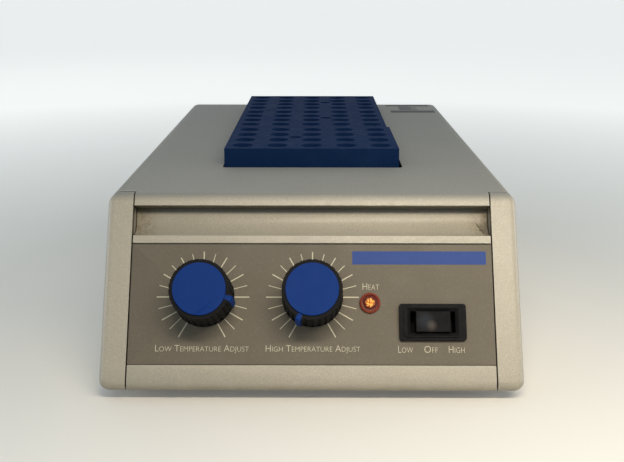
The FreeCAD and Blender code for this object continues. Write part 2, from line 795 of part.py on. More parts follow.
def make_heat_block(name, index, width, probe_side):
    """A drilled aluminium block: rows of tube bores, and a thermometer bore between the middle rows."""
    block = body(name)
    block_rear = "block_front + %d * block_pitch + block_depth" % index
    middle_x = "block_left + " + width + " / 2"
    middle_y = "block_front + %d * block_pitch + block_depth / 2" % index
    outline = rectangle("block_left", "block_left + " + width, block_rear + " - block_depth", block_rear)
    pad(block, name + "_billet", "XY_Plane", [outline], "block_height", "block_bottom")
    top = "block_bottom + block_height"
    first_x = middle_x + " - column_pitch * (columns - 1) / 2"
    first_y = middle_y + " - row_pitch * (rows - 1) / 2"
    bore = pocket(block, name + "_bore", "XY_Plane", [(first_x, first_y, "tube_bore")], "tube_depth", top)
    rows = block.newObject("PartDesign::LinearPattern", name + "_bores")
    rows.Originals = [bore]
    rows.Direction = (origin_feature(block, "X_Axis"), [""])
    rows.Direction2 = (origin_feature(block, "Y_Axis"), [""])
    tie(rows, {"Length": "column_pitch * (columns - 1)", "Occurrences": "columns"})
    tie(rows, {"Length2": "row_pitch * (rows - 1)", "Occurrences2": "rows"})
    block.Tip = rows
    probe_x = middle_x + " + (" + probe_side + ") * column_pitch / 2"
    pocket(block, name + "_probe", "XY_Plane", [(probe_x, middle_y, "probe_bore")], "probe_depth", top)
    keep(name, block)


def make_heater_stack():
    """Plate, heating mat, clamp plate and spacers, with the insulation around and below them."""
    plate_size = ("plate_width", "plate_length", "plate_thick")
    plate = box("plate_solid", ("plate_left", "plate_front", "plate_under"), plate_size)
    probe_at = (sensor_across(), "plate_front - skin", "probe_level")
    bore = rod("sensor_bore", probe_at, "probe_radius + fit_gap / 3", "probe_inside + 2 * skin", "y")
    keep("heater_plate", cut("heater_plate", plate, [bore]))
    for name, level, thick in (
        ("heater_mat", "mat_under", "mat_thick"),
        ("heater_clamp_plate", "clamp_under", "clamp_thick"),
    ):
        at = ("plate_left + mat_inset", "plate_front + mat_inset", level)
        size = ("plate_width - 2 * mat_inset", "plate_length - 2 * mat_inset", thick)
        keep(name, box(name, at, size))
    spacers = []
    for side, x in (
        ("left", "plate_left + mat_inset / 2"),
        ("right", "plate_left + plate_width - mat_inset / 2"),
    ):
        for end, y in (
            ("front", "plate_front + mat_inset / 2"),
            ("middle", "plate_front + plate_length / 2"),
            ("rear", "plate_front + plate_length - mat_inset / 2"),
        ):
            name = "spacer_%s_%s" % (side, end)
            spacers.append(rod(name, (x, y, "pan_top"), "spacer_radius", "plate_under - pan_top"))
    keep("plate_spacers", group("plate_spacers", spacers))
    make_insulation()
    make_heater_controls()


def sensor_across():
    return "plate_left + plate_width / 2"


def make_insulation():
    """A blanket around the liner, and a pad between the clamp plate and the pan."""
    outer_at = (
        "opening_left - liner_wall - blanket_thick",
        "opening_front - liner_wall - blanket_thick",
        "block_bottom",
    )
    grown = "2 * (liner_wall + blanket_thick)"
    height = "deck_under - liner_wall - block_bottom"
    outer = box("blanket_outer", outer_at, ("opening_width + " + grown, "opening_length + " + grown, height))
    inner_at = ("opening_left - liner_wall", "opening_front - liner_wall", "block_bottom - skin")
    inner_size = ("opening_width + 2 * liner_wall", "opening_length + 2 * liner_wall", "block_height + skin")
    inner = box("blanket_inner", inner_at, inner_size)
    keep("insulation_blanket", cut("insulation_blanket", outer, [inner]))
    pad_inset = "(mat_inset + pad_inset)"
    pad_at = ("plate_left + " + pad_inset, "plate_front + pad_front", "pan_top")
    pad_size = (
        "plate_width - 2 * " + pad_inset,
        "plate_length - pad_front - mat_inset",
        "clamp_under - pan_top",
    )
    keep("insulation_pad", box("insulation_pad", pad_at, pad_size))


def make_heater_controls():
    """The over-temperature cutout on the clamp plate and the sensor in the plate's front edge."""
    x = "plate_left + plate_width - mat_inset - 3 * cutout_radius"
    y = "plate_front + mat_inset + 2 * cutout_radius"
    can = rod("cutout_can", (x, y, "clamp_under - cutout_height"), "cutout_radius", "cutout_height")
    tabs = []
    for index, offset in enumerate(("-cutout_radius / 2", "cutout_radius / 2")):
        at = (
            x + " + " + offset + " - spade_width / 4",
            y + " - spade_thick / 2",
            "clamp_under - cutout_height - spade_length / 2",
        )
        tabs.append(box("cutout_tab_%d" % index, at, ("spade_width / 2", "spade_thick", "spade_length")))
    keep("thermal_cutout", fuse("thermal_cutout", [can] + tabs))
    start = "plate_front + probe_inside - probe_length"
    sensor_at = (sensor_across(), start, "probe_level")
    keep("temperature_sensor", rod("temperature_sensor", sensor_at, "probe_radius", "probe_length", "y"))


# Controls on the sloping face, each made flat and then laid on it


def make_knob(name, across, rest):
    """A fluted knob with a tapering pointer nose, turned to its rest mark."""
    knob = on_face(body(name), across, "knob_level")
    taper = "atan((knob_base_radius - knob_top_radius) / (knob_top - knob_gap))"
    base = [("0", "0", "knob_base_radius")]
    skirt = pad(knob, name + "_skirt", "XY_Plane", base, "knob_top - knob_gap", "knob_gap")
    tie(skirt, {"TaperAngle": "-" + taper})
    scoop = [("0", "knob_base_radius + flute_radius - flute_bite", "flute_radius")]
    flute = pocket(knob, name + "_flute", "XY_Plane", scoop, "knob_top", "knob_top + skin")
    flutes = knob.newObject("PartDesign::PolarPattern", name + "_flutes")
    flutes.Originals = [flute]
    flutes.Axis = (origin_feature(knob, "Z_Axis"), [""])
    flutes.Angle = 360
    tie(flutes, {"Occurrences": "flutes"})
    knob.Tip = flutes
    nose = wedge("nose_root", "tab_width", "nose_inner", "nose_reach - tab_thick")
    pad(knob, name + "_nose", "XY_Plane", [nose], "knob_top - knob_gap", "knob_gap", "-" + rest)
    hollow = [("0", "0", "knob_hollow_radius")]
    pocket(knob, name + "_hollow", "XY_Plane", hollow, "knob_hollow + skin", "knob_gap + knob_hollow")
    seat = [("0", "0", "cap_radius + fit_gap / 6")]
    pocket(knob, name + "_seat", "XY_Plane", seat, "cap_seat + skin", "knob_top + skin")
    bore = [("0", "0", "shaft_radius")]
    pocket(knob, name + "_bore", "XY_Plane", bore, "shaft_top", "shaft_top")
    slot = wedge("tab_neck", "tab_width", "cap_radius - skin", "nose_reach")
    pocket(knob, name + "_tab_slot", "XY_Plane", [slot], "tab_thick + skin", "knob_top + skin", "-" + rest)
    keep(name, knob)


def make_knob_cap(name, across, rest):
    """The coloured disc in the knob's front, with the tab that runs out and down over the nose."""
    cap = on_face(body(name), across, "knob_level")
    disc_thick = "cap_front - knob_top + cap_seat"
    pad(cap, name + "_disc", "XY_Plane", [("0", "0", "cap_radius")], disc_thick, "knob_top - cap_seat")
    arm = wedge("tab_neck", "tab_width", "cap_radius - skin", "nose_reach")
    pad(cap, name + "_arm", "XY_Plane", [arm], "tab_thick", "knob_top - tab_thick", "-" + rest)
    drop = rectangle("-tab_width / 2", "tab_width / 2", "nose_reach - tab_thick", "nose_reach")
    pad(cap, name + "_drop", "XY_Plane", [drop], "knob_top - tab_low", "tab_low", "-" + rest)
    radius = lambda e: math.hypot(e.CenterOfMass.x, e.CenterOfMass.y)
    upper = lambda e: radius(e) > value("nose_reach") - 0.1 and e.CenterOfMass.z > value("knob_top") - 0.1
    rounded(cap, name + "_tip", "tab_round", upper)
    short = lambda e: e.CenterOfMass.z < value("tab_low") + 0.1 and e.Length < value("tab_thick") + 0.1
    rounded(cap, name + "_drop_corners", "tab_round", short)
    keep(name, cap)


def make_control(side, across, rest):
    """One temperature control: knob, cap, shaft, potentiometer and its nut."""
    make_knob(side + "_knob", across, rest)
    make_knob_cap(side + "_knob_cap", across, rest)
    rear = "-face_wall - pot_depth"
    shaft_low = rear + " + skin"
    shaft = rod(side + "_shaft_rod", ("0", "0", shaft_low), "shaft_radius", "shaft_top - (" + shaft_low + ")")
    keep(side + "_shaft", on_face(group(side + "_shaft", [shaft]), across, "knob_level"))
    can = rod(side + "_pot_can", ("0", "0", rear), "pot_radius", "pot_depth")
    bushing_at = ("0", "0", "-face_wall - skin")
    bushing = rod(side + "_bushing", bushing_at, "bushing_radius", "bushing_top + face_wall + skin")
    lugs = []
    for index in range(3):
        at = (
            "%d * lug_pitch - lug_width / 2" % (index - 1),
            "-pot_radius - lug_reach",
            rear + " + pot_depth / 3",
        )
        lug_size = ("lug_width", "lug_reach + pot_radius / 2", "lug_thick")
        lugs.append(box("%s_lug_%d" % (side, index), at, lug_size))
    solid = fuse(side + "_pot_solid", [can, bushing] + lugs)
    bore_length = "pot_depth + face_wall + 2 * bushing_top"
    bore = rod(side + "_pot_bore", ("0", "0", rear), "shaft_radius + shaft_gap", bore_length)
    keep(side + "_pot", on_face(cut(side + "_pot", solid, [bore]), across, "knob_level"))
    nut = doc.addObject("Part::Prism", side + "_nut_solid")
    nut.Polygon = 6
    tie(nut, {"Circumradius": "nut_radius", "Height": "nut_thick"})
    put(nut, ("0", "0", "overlay_face"))
    thread_at = ("0", "0", "overlay_face - skin")
    thread = rod(side + "_nut_bore", thread_at, "bushing_radius", "nut_thick + 2 * skin")
    keep(side + "_pot_nut", on_face(cut(side + "_pot_nut", nut, [thread]), across, "knob_level"))


def make_lamp():
    """The indicator: a domed lens pushed through the face, and its holder behind."""
    lens = on_face(body("lamp_lens"), "lamp_across", "lamp_level")
    pad(lens, "lens_rim", "XY_Plane", [("0", "0", "lamp_radius")], "lamp_dome", "overlay_face")
    top_ring = lambda e: e.CenterOfMass.z > value("overlay_face") + value("lamp_rim")
    rounded(lens, "lens_dome", "lamp_dome - lamp_rim", top_ring)
    pad(lens, "lens_neck", "XY_Plane", [("0", "0", "lamp_neck")], "face_wall + overlay_face", "-face_wall")
    hollow = [("0", "0", "lamp_bulb_radius + fit_gap")]
    pocket(lens, "lens_hollow", "XY_Plane", hollow, "2 * face_wall", "lamp_rim")
    keep("lamp_lens", lens)
    can_at = ("0", "0", "-face_wall - lamp_body_depth")
    holder = rod("holder_can", can_at, "lamp_body_radius", "lamp_body_depth")
    bulb_at = ("0", "0", "-face_wall - skin")
    bulb = rod("holder_bulb", bulb_at, "lamp_bulb_radius", "face_wall + skin + lamp_rim / 2")
    whole = fuse("lamp_holder", [holder, bulb])
    keep("lamp_holder", on_face(whole, "lamp_across", "lamp_level"))


def make_switch():
    """The three-position rocker switch: housing, rocker and terminals."""
    housing = on_face(body("switch_housing"), "switch_across", "switch_level")
    frame = [centred("switch_frame_width", "switch_frame_height")]
    pad(housing, "switch_frame", "XY_Plane", frame, "switch_frame_thick", "overlay_face")
    rounded(housing, "switch_frame_corners", "switch_frame_round", lambda edge: runs_along(edge, "z"))
    base = "-switch_body_depth"
    shell = [centred("switch_body_width", "switch_body_height")]
    pad(housing, "switch_shell", "XY_Plane", shell, "switch_body_depth + overlay_face", base)
    rim = [centred("rocker_hole_width + 2 * switch_rim_across", "rocker_hole_height + 2 * switch_rim_up")]
    front = "overlay_face + switch_frame_thick"
    pad(housing, "switch_rim", "XY_Plane", rim, "switch_frame_thick + switch_rim_rise", "overlay_face")
    above = lambda e: e.CenterOfMass.z > value("overlay_face") + value("switch_frame_thick")
    rounded(housing, "switch_rim_corners", "switch_rim_up", lambda e: runs_along(e, "z") and above(e))
    dish_outline = [centred("rocker_hole_width + 2 * switch_dish", "rocker_hole_height + 2 * switch_dish")]
    dish_depth = "switch_dish / tan(switch_dish_angle)"
    dish = pocket(housing, "switch_dish", "XY_Plane", dish_outline, dish_depth, front + " + switch_rim_rise")
    tie(dish, {"TaperAngle": "-switch_dish_angle"})
    cavity = [centred("rocker_hole_width", "rocker_hole_height")]
    pocket(housing, "switch_cavity", "XY_Plane", cavity, "rocker_hole_depth + skin", front + " + skin")
    pin_hole = [("0", "rocker_pivot", "rocker_pin_radius + shaft_gap")]
    span = "rocker_hole_height / 2 + rocker_pin_length + fit_gap"
    pocket(housing, "pivot_holes", "XZ_Plane", pin_hole, "2 * (" + span + ")", span)
    keep("switch_housing", housing)
    make_rocker()
    spades = []
    for index in range(3):
        at = (
            "%d * spade_pitch - spade_thick / 2" % (index - 1),
            "-spade_width / 2",
            base + " - spade_length",
        )
        spades.append(box("spade_%d" % index, at, ("spade_thick", "spade_width", "spade_length")))
    keep("switch_terminals", on_face(group("switch_terminals", spades), "switch_across", "switch_level"))


def make_rocker():
    """The rocker, in two shallow slopes that meet at its middle, on two pivot pins."""
    rocker = on_face(body("switch_rocker"), "switch_across", "switch_level")
    top = "rocker_pivot + rocker_rise"
    side = "rocker_width / 2"
    section = [
        ("-" + side, "rocker_pivot - rocker_drop"),
        (side, "rocker_pivot - rocker_drop"),
        (side, top),
        ("0", top + " - rocker_dish"),
        ("-" + side, top),
    ]
    depth = "rocker_hole_height - 2 * fit_gap"
    pad(rocker, "rocker_section", "XZ_Plane", [section], depth, "-(" + depth + ") / 2")
    pins = "rocker_hole_height + 2 * rocker_pin_length"
    pin = ("0", "rocker_pivot", "rocker_pin_radius")
    pad(rocker, "rocker_pins", "XZ_Plane", [pin], pins, "-(" + pins + ") / 2")
    keep("switch_rocker", rocker)


# Power inlet and fuse on the rear panel


def make_inlet():
    """A flanged three-pin appliance inlet, upright, with two screws."""
    flange_at = (
        "inlet_across - inlet_flange_width / 2",
        "panel_rear",
        "inlet_height - inlet_flange_height / 2",
    )
    flange_size = ("inlet_flange_width", "inlet_flange_thick", "inlet_flange_height")
    flange = box("inlet_flange", flange_at, flange_size)
    body_at = (
        "inlet_across - inlet_body_width / 2",
        "panel_rear - inlet_body_depth",
        "inlet_height - inlet_body_height / 2",
    )
    shell = box("inlet_shell", body_at, ("inlet_body_width", "inlet_body_depth + skin", "inlet_body_height"))
    solid = fuse("inlet_solid", [flange, shell])
    socket_at = (
        "inlet_across - inlet_socket_width / 2",
        "panel_rear + inlet_flange_thick - inlet_socket_depth",
        "inlet_height - inlet_socket_height / 2",
    )
    socket_size = ("inlet_socket_width", "inlet_socket_depth + skin", "inlet_socket_height")
    tools = [box("inlet_socket", socket_at, socket_size)]
    screws = []
    for name, z in inlet_screw_levels():
        hole_at = ("inlet_across", "panel_rear - skin", z)
        tools.append(rod("inlet_ear_" + name, hole_at, "screw_radius", "inlet_flange_thick + 2 * skin", "y"))
        seat = ("inlet_across", "panel_rear + inlet_flange_thick", z)
        screws.append(screw("inlet_screw_" + name, seat, "y", 1, "screw_radius - fit_gap / 6", "screw_grip"))
    keep("power_inlet", cut("power_inlet", solid, tools))
    keep("inlet_screws", group("inlet_screws", screws))
    pins = []
    floor = "panel_rear + inlet_flange_thick - inlet_socket_depth"
    for index in range(3):
        at = (
            "inlet_across + %d * inlet_pin_offset - inlet_pin_width / 2" % (2 * (index % 2) - 1),
            floor,
            "inlet_height + %d * inlet_pin_pitch - inlet_pin_thick / 2" % (index - 1),
        )
        size = ("inlet_pin_width", "inlet_socket_depth - inlet_pin_tip", "inlet_pin_thick")
        pins.append(box("inlet_pin_%d" % index, at, size))
    tails = []
    for index in range(3):
        at = (
            "inlet_across - spade_thick / 2",
            "panel_rear - inlet_body_depth - spade_length",
            "inlet_height + %d * inlet_pin_pitch - spade_width / 2" % (index - 1),
        )
        size = ("spade_thick", "spade_length", "spade_width - fit_gap")
        tails.append(box("inlet_tail_%d" % index, at, size))
    keep("inlet_pins", group("inlet_pins", pins + tails))


def make_fuse():
    """A panel fuse holder with its nut, and the cap and carrier that draw out with the fuse."""
    at = lambda y: ("fuse_across", y, "fuse_level")
    barrel_at = at("panel_rear - holder_depth")
    barrel = rod("holder_barrel", barrel_at, "holder_radius", "holder_depth + skin", "y")
    flange = rod("holder_flange", at("panel_rear"), "holder_flange_radius", "holder_flange_thick", "y")
    solid = fuse("holder_solid", [barrel, flange])
    bore_low = "panel_rear + holder_flange_thick - carrier_length - fit_gap"
    bore = rod("holder_bore_tool", at(bore_low), "holder_bore", "carrier_length + fit_gap + skin", "y")
    keep("fuse_holder", cut("fuse_holder", solid, [bore]))
    nut_at = at("panel_inner - holder_nut_thick")
    nut = rod("fuse_nut_solid", nut_at, "holder_nut_radius", "holder_nut_thick", "y")
    hole_at = at("panel_inner - 2 * holder_nut_thick")
    hole = rod("fuse_nut_hole", hole_at, "holder_radius", "4 * holder_nut_thick", "y")
    keep("fuse_nut", cut("fuse_nut", nut, [hole]))
    seat = "panel_rear + holder_flange_thick"
    carrier = rod("carrier_solid", at(seat + " - carrier_length"), "carrier_radius", "carrier_length", "y")
    fuse_low = seat + " - carrier_length"
    room_at = at(fuse_low + " - skin")
    fuse_room = rod("carrier_room", room_at, "carrier_bore", "fuse_length + skin + fit_gap", "y")
    keep("fuse_carrier", cut("fuse_carrier", carrier, [fuse_room]))
    glass_at = at(fuse_low + " + fuse_ferrule")
    glass = rod("fuse_glass", glass_at, "fuse_radius - fit_gap", "fuse_length - 2 * fuse_ferrule", "y")
    keep("fuse_glass", glass)
    ends = []
    for index, start in enumerate((fuse_low, fuse_low + " + fuse_length - fuse_ferrule")):
        ends.append(rod("fuse_end_%d" % index, at(start), "fuse_radius", "fuse_ferrule", "y"))
    keep("fuse_ends", group("fuse_ends", ends))
    cap = rod("fuse_cap_solid", at(seat), "fuse_cap_radius", "fuse_cap_height", "y")
    slot_at = (
        "fuse_across - fuse_slot_width / 2",
        seat + " + fuse_cap_height - fuse_slot_depth",
        "fuse_level - fuse_cap_radius - skin",
    )
    slot_size = ("fuse_slot_width", "fuse_slot_depth + skin", "2 * (fuse_cap_radius + skin)")
    keep("fuse_cap", cut("fuse_cap", cap, [box("fuse_slot", slot_at, slot_size)]))


# Electronics behind the sloping face


def make_board():
    """The control board on four standoffs, with its screws and the pieces soldered to it."""
    solid_at = ("board_left", "board_start", "board_under")
    solid = box("board_solid", solid_at, ("board_length", "board_depth", "board_thick"))
    holes = []
    standoffs = []
    screws = []
    for side, x in (
        ("left", "board_left + board_hole_inset"),
        ("right", "board_left + board_length - board_hole_inset"),
    ):
        for end, y in (
            ("front", "board_start + board_hole_inset"),
            ("rear", "board_start + board_depth - board_hole_inset"),
        ):
            name = "%s_%s" % (side, end)
            hole_at = (x, y, "board_under - skin")
            holes.append(rod("board_hole_" + name, hole_at, "screw_radius", "3 * board_thick"))
            standoffs.append(rod("standoff_" + name, (x, y, "pan_top"), "standoff_radius", "board_lift"))
            head_at = (x, y, "board_top")
            screws.append(rod("board_head_" + name, head_at, "screw_head_radius", "screw_head_thick"))
    keep("circuit_board", cut("circuit_board", solid, holes))
    keep("board_standoffs", group("board_standoffs", standoffs))
    keep("board_screws", group("board_screws", screws))
    sink_x = "board_left + board_hole_inset + 3 * standoff_radius"
    sink_y = "board_start + board_depth - sink_depth - skin"
    fin_block = box("sink_block", (sink_x, sink_y, "board_top"), ("sink_length", "sink_depth", "sink_height"))
    slots = []
    fin_pitch = "sink_length / (sink_slots + 1)"
    for index in range(int(value("sink_slots"))):
        at = (
            sink_x + " + (%d - 1 / 4) * " % (index + 1) + fin_pitch,
            sink_y + " + sink_depth / 3",
            "board_top - skin",
        )
        size = (fin_pitch + " / 2", "sink_depth", "sink_height + 2 * skin")
        slots.append(box("sink_slot_%d" % index, at, size))
    keep("heat_sink", cut("heat_sink", fin_block, slots))
    triac_at = (sink_x + " + sink_length / 2 - triac_width / 2", sink_y + " - triac_thick", "board_top")
    keep("triac", box("triac", triac_at, ("triac_width", "triac_thick", "triac_height")))
    cans = []
    first_can = "board_left + board_length - board_hole_inset - 3 * standoff_radius"
    for index in range(3):
        at = (
            first_can + " - %d * (2 * can_radius + seam)" % index,
            "board_start + board_depth - can_radius - standoff_radius",
            "board_top",
        )
        cans.append(rod("can_%d" % index, at, "can_radius", "can_height"))
    keep("capacitors", group("capacitors", cans))
    terminal_at = ("board_left + board_length / 2 - terminal_length / 2", "board_start + skin", "board_top")
    terminal_size = ("terminal_length", "terminal_depth", "terminal_height")
    keep("terminal_block", box("terminal_block", terminal_at, terminal_size))


def make_transformer():
    """A small mains transformer on the pan: laminated core, and the coil through its windows."""
    core_at = ("core_left", "core_start", "pan_top")
    core = box("core_solid", core_at, ("core_width", "core_depth", "core_height"))
    coil_left = "core_left + (core_width - coil_width) / 2"
    coil_low = "pan_top + (core_height - coil_height) / 2"
    limb = "coil_width / 3"
    windows = []
    for index, x in enumerate((coil_left, coil_left + " + 2 * " + limb)):
        at = (x, "core_start - skin", coil_low)
        windows.append(box("window_%d" % index, at, (limb, "core_depth + 2 * skin", "coil_height")))
    keep("transformer_core", cut("transformer_core", core, windows))
    coil_at = (coil_left, "core_start - (coil_depth - core_depth) / 2", coil_low)
    coil = box("coil_solid", coil_at, ("coil_width", "coil_depth", "coil_height"))
    middle_at = (coil_left + " + " + limb, "core_start", coil_low + " - skin")
    middle = box("coil_core_room", middle_at, (limb, "core_depth", "coil_height + 2 * skin"))
    keep("transformer_coil", cut("transformer_coil", coil, [middle]))


# Wires, as tubes along straight runs joined by arcs


def tube(points, radius):
    """A round tube through the points, each corner an arc as large as its two runs allow."""
    edges = []
    start = points[0]
    for before, corner, after in zip(points, points[1:], points[2:]):
        into = (before - corner).normalize()
        out = (after - corner).normalize()
        half_turn = (math.pi - into.getAngle(out)) / 2
        reach = 0.45 * min((before - corner).Length, (after - corner).Length)
        middle = (into + out).normalize()
        arc_radius = reach / math.tan(half_turn)
        bulge = corner + middle * (arc_radius / math.cos(half_turn) - arc_radius)
        edges.append(Part.makeLine(start, corner + into * reach))
        edges.append(Part.Arc(corner + into * reach, bulge, corner + out * reach).toShape())
        start = corner + out * reach
    edges.append(Part.makeLine(start, points[-1]))
    path = Part.Wire(edges)
    ring = Part.Wire([Part.makeCircle(radius, points[0], points[1] - points[0])])
    return path.makePipeShell([ring], True, True)


def wire_set(name, radius, routes):
    thing = doc.addObject("Part::Feature", name)
    thing.Shape = Part.makeCompound([tube(route, radius) for route in routes])
    thing.Placement = Placement()
    keep(name, thing)


def make_wires():
    """Mains wires from the inlet to the switch, and the leads of the heater and the sensor."""
    wires = []
    unit = value("mains_wire_radius")
    side = value("side_inner") - value("pan_round") - value("skin") - unit
    tail = value("panel_rear") - value("inlet_body_depth") - value("spade_length")
    floor = value("pan_top") + value("mains_wire_radius") + value("fit_gap")
    pitch = 2 * value("mains_wire_radius") + value("seam")
    switch_foot = face_point(value("switch_across"), value("switch_level"), -value("switch_body_depth"))
    for index in range(2):
        level = value("inlet_height") + (index - 1) * value("inlet_pin_pitch")
        x = value("inlet_across")
        lane = side - index * pitch
        spade = switch_foot + Vector((1 - index) * value("spade_pitch"), 0, 0)
        outwards = face_point(0, 0, -1) - face_point(0, 0, 0)
        tip = spade + outwards * value("spade_length")
        wires.append(
            [
                Vector(x, tail, level),
                Vector(x, tail - 10 * unit, level),
                Vector(lane - unit, tail - 34 * unit, level / 2 + floor / 2),
                Vector(lane, tail - 70 * unit, floor + unit),
                Vector(lane, tail - 115 * unit, floor),
                Vector(lane - unit / 2, tail - 158 * unit, floor),
                Vector(lane - 3 * unit, value("core_start") + 9 * unit, floor + unit / 2),
                tip + outwards * 8 * unit + Vector(5 * unit, 5 * unit, 2 * unit),
                tip + outwards * 3 * unit,
                tip,
            ]
        )
    wire_set("mains_wires", value("mains_wire_radius"), wires)
    leads = []
    block_x = value("board_left") + value("board_length") / 2
    block_y = value("board_start") + value("skin") + value("terminal_depth")
    block_z = value("board_top") + value("terminal_height") / 2
    mat_x = value("plate_left") + value("mat_inset")
    mat_y = value("plate_front") + value("mat_inset")
    mat_z = value("mat_under") + value("mat_thick") / 2
    lead = value("lead_radius")
    pole = value("terminal_length") / 8
    above = value("board_top") + value("sink_height")
    for index in range(2):
        x = block_x + (index + 1) * pole
        end_x = mat_x + (index + 1) * pole
        leads.append(
            [
                Vector(x, block_y, block_z),
                Vector(x, block_y + 9 * lead, block_z),
                Vector((x + end_x) / 2, block_y + 26 * lead, above),
                Vector(end_x, mat_y - 17 * lead, mat_z),
                Vector(end_x, mat_y, mat_z),
            ]
        )
    wire_set("heater_leads", value("lead_radius"), leads)
    probe_x = value("plate_left") + value("plate_width") / 2
    probe_y = value("plate_front") + value("probe_inside") - value("probe_length")
    route = [
        Vector(probe_x, probe_y, value("probe_level")),
        Vector(probe_x, probe_y - 13 * lead, value("probe_level")),
        Vector(probe_x - 11 * lead, block_y + 24 * lead, above),
        Vector(block_x + 3 * pole, block_y + 12 * lead, block_z),
        Vector(block_x + 3 * pole, block_y, block_z),
    ]
    wire_set("sensor_lead", value("lead_radius"), [route])


def face_point(across, down, out):
    """A point on the sloping face, or out from it, in the case's own frame."""
    tilt = math.radians(value("face_tilt"))
    y = value("deck_front") - down * math.sin(tilt) - out * math.cos(tilt)
    z = value("deck_top") - down * math.cos(tilt) + out * math.sin(tilt)
    return Vector(across, y, z)


def check_and_write():
    """Stop at any failed object, and otherwise write each sub-part to its own file."""
    doc.recompute()
    failed = [thing.Name for thing in doc.Objects if {"Invalid", "Error"} & set(thing.State)]
    if failed:
        raise RuntimeError("failed objects: " + ", ".join(failed))
    os.makedirs("parts", exist_ok=True)
    for thing in parts:
        shape = thing.Shape
        if shape.isNull() or not shape.isValid() or not shape.Solids:
            raise RuntimeError("bad shape: " + thing.Label)
        shape.exportStep("parts/" + thing.Label + ".step")
        print("%-24s %3d solids %12.1f mm3" % (thing.Label, len(shape.Solids), shape.Volume))


make_top_cover()
make_cheek("left_cheek", "-")
make_cheek("right_cheek", "")
make_front_bezel()
make_control_overlay()
make_base_pan()
make_rear_panel()
make_well_liner()
make_heat_block("heat_block_front", 0, "front_block_width", "-1")
make_heat_block("heat_block_middle", 1, "rear_block_width", "1")
make_heat_block("heat_block_rear", 2, "rear_block_width", "1")
make_heater_stack()
make_control("low", "low_across", "low_rest_angle")
make_control("high", "high_across", "high_rest_angle")
make_lamp()
make_switch()
make_inlet()
make_fuse()
make_board()
make_transformer()
make_feet()
make_cover_screws()
make_wires()
check_and_write()
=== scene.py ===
import json
import math

import bmesh
import bpy
from mathutils import Matrix, Vector


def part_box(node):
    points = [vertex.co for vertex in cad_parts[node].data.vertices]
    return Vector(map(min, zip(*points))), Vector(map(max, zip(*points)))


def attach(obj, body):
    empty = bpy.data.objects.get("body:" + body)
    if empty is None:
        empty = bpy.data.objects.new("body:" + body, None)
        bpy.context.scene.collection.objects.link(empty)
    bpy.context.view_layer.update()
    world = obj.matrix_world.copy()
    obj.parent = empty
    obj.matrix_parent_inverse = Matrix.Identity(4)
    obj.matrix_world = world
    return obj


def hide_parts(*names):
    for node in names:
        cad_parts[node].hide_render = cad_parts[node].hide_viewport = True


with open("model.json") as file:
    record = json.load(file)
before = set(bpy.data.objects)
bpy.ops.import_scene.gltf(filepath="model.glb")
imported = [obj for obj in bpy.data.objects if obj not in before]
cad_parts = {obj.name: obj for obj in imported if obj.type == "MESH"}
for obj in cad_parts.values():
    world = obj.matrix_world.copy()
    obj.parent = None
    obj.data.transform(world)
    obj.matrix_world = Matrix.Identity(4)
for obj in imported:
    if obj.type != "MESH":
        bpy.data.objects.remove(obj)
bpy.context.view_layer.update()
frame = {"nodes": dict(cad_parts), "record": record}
MM = 0.001

# The sloping face: its tilt from upright, and its upper edge, in millimetres, in front of the blocks

FACE_TILT = math.radians(28.9)
BLOCK_SETBACK = 69.6
BLOCK_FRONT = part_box("heat_block_front")[0].y / MM
EDGE_Y = BLOCK_FRONT - BLOCK_SETBACK
EDGE_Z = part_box("top_cover")[1].z / MM
ACROSS = Vector((1, 0, 0))
UP_SLOPE = Vector((0, math.sin(FACE_TILT), math.cos(FACE_TILT)))
OUTWARDS = Vector((0, -math.cos(FACE_TILT), math.sin(FACE_TILT)))


def on_face(across, down, out=0.0):
    """A point of the face in metres, from millimetres across it, down it and out of it."""
    corner = Vector((across, EDGE_Y, EDGE_Z))
    return (corner - UP_SLOPE * down + OUTWARDS * out) * MM


def face_matrix(across, down, out=0.0):
    """The frame of a piece that lies on the face: X across, Y up the slope, Z outwards."""
    turn = Matrix((ACROSS, UP_SLOPE, OUTWARDS)).transposed().to_4x4()
    return Matrix.Translation(on_face(across, down, out)) @ turn


def middle(node):
    """How far across the case a carried-over node's middle is, in millimetres."""
    low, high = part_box(node)
    return (low.x + high.x) / 2 / MM


# Places on the face, in millimetres: across the case, down the slope and out of the face

LOW_ACROSS = middle("low_shaft")
HIGH_ACROSS = middle("high_shaft")
LAMP_ACROSS = middle("lamp_lens")
SWITCH_ACROSS = middle("switch_rocker")
JOINT_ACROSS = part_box("front_bezel")[1].x / MM
JOINT_WIDTH = 0.5
LIP_LEVEL = 6.6
GROOVE_TOP = 4.8
GROOVE_BOTTOM = 23.0
KNOB_LEVEL = 50.1
LAMP_LEVEL = 52.9
SWITCH_LEVEL = 61.5
OVERLAY_OUT = -0.2
CUT_EDGE_OUT = -4.3
ROCKER_OUT = 3.0

# Materials


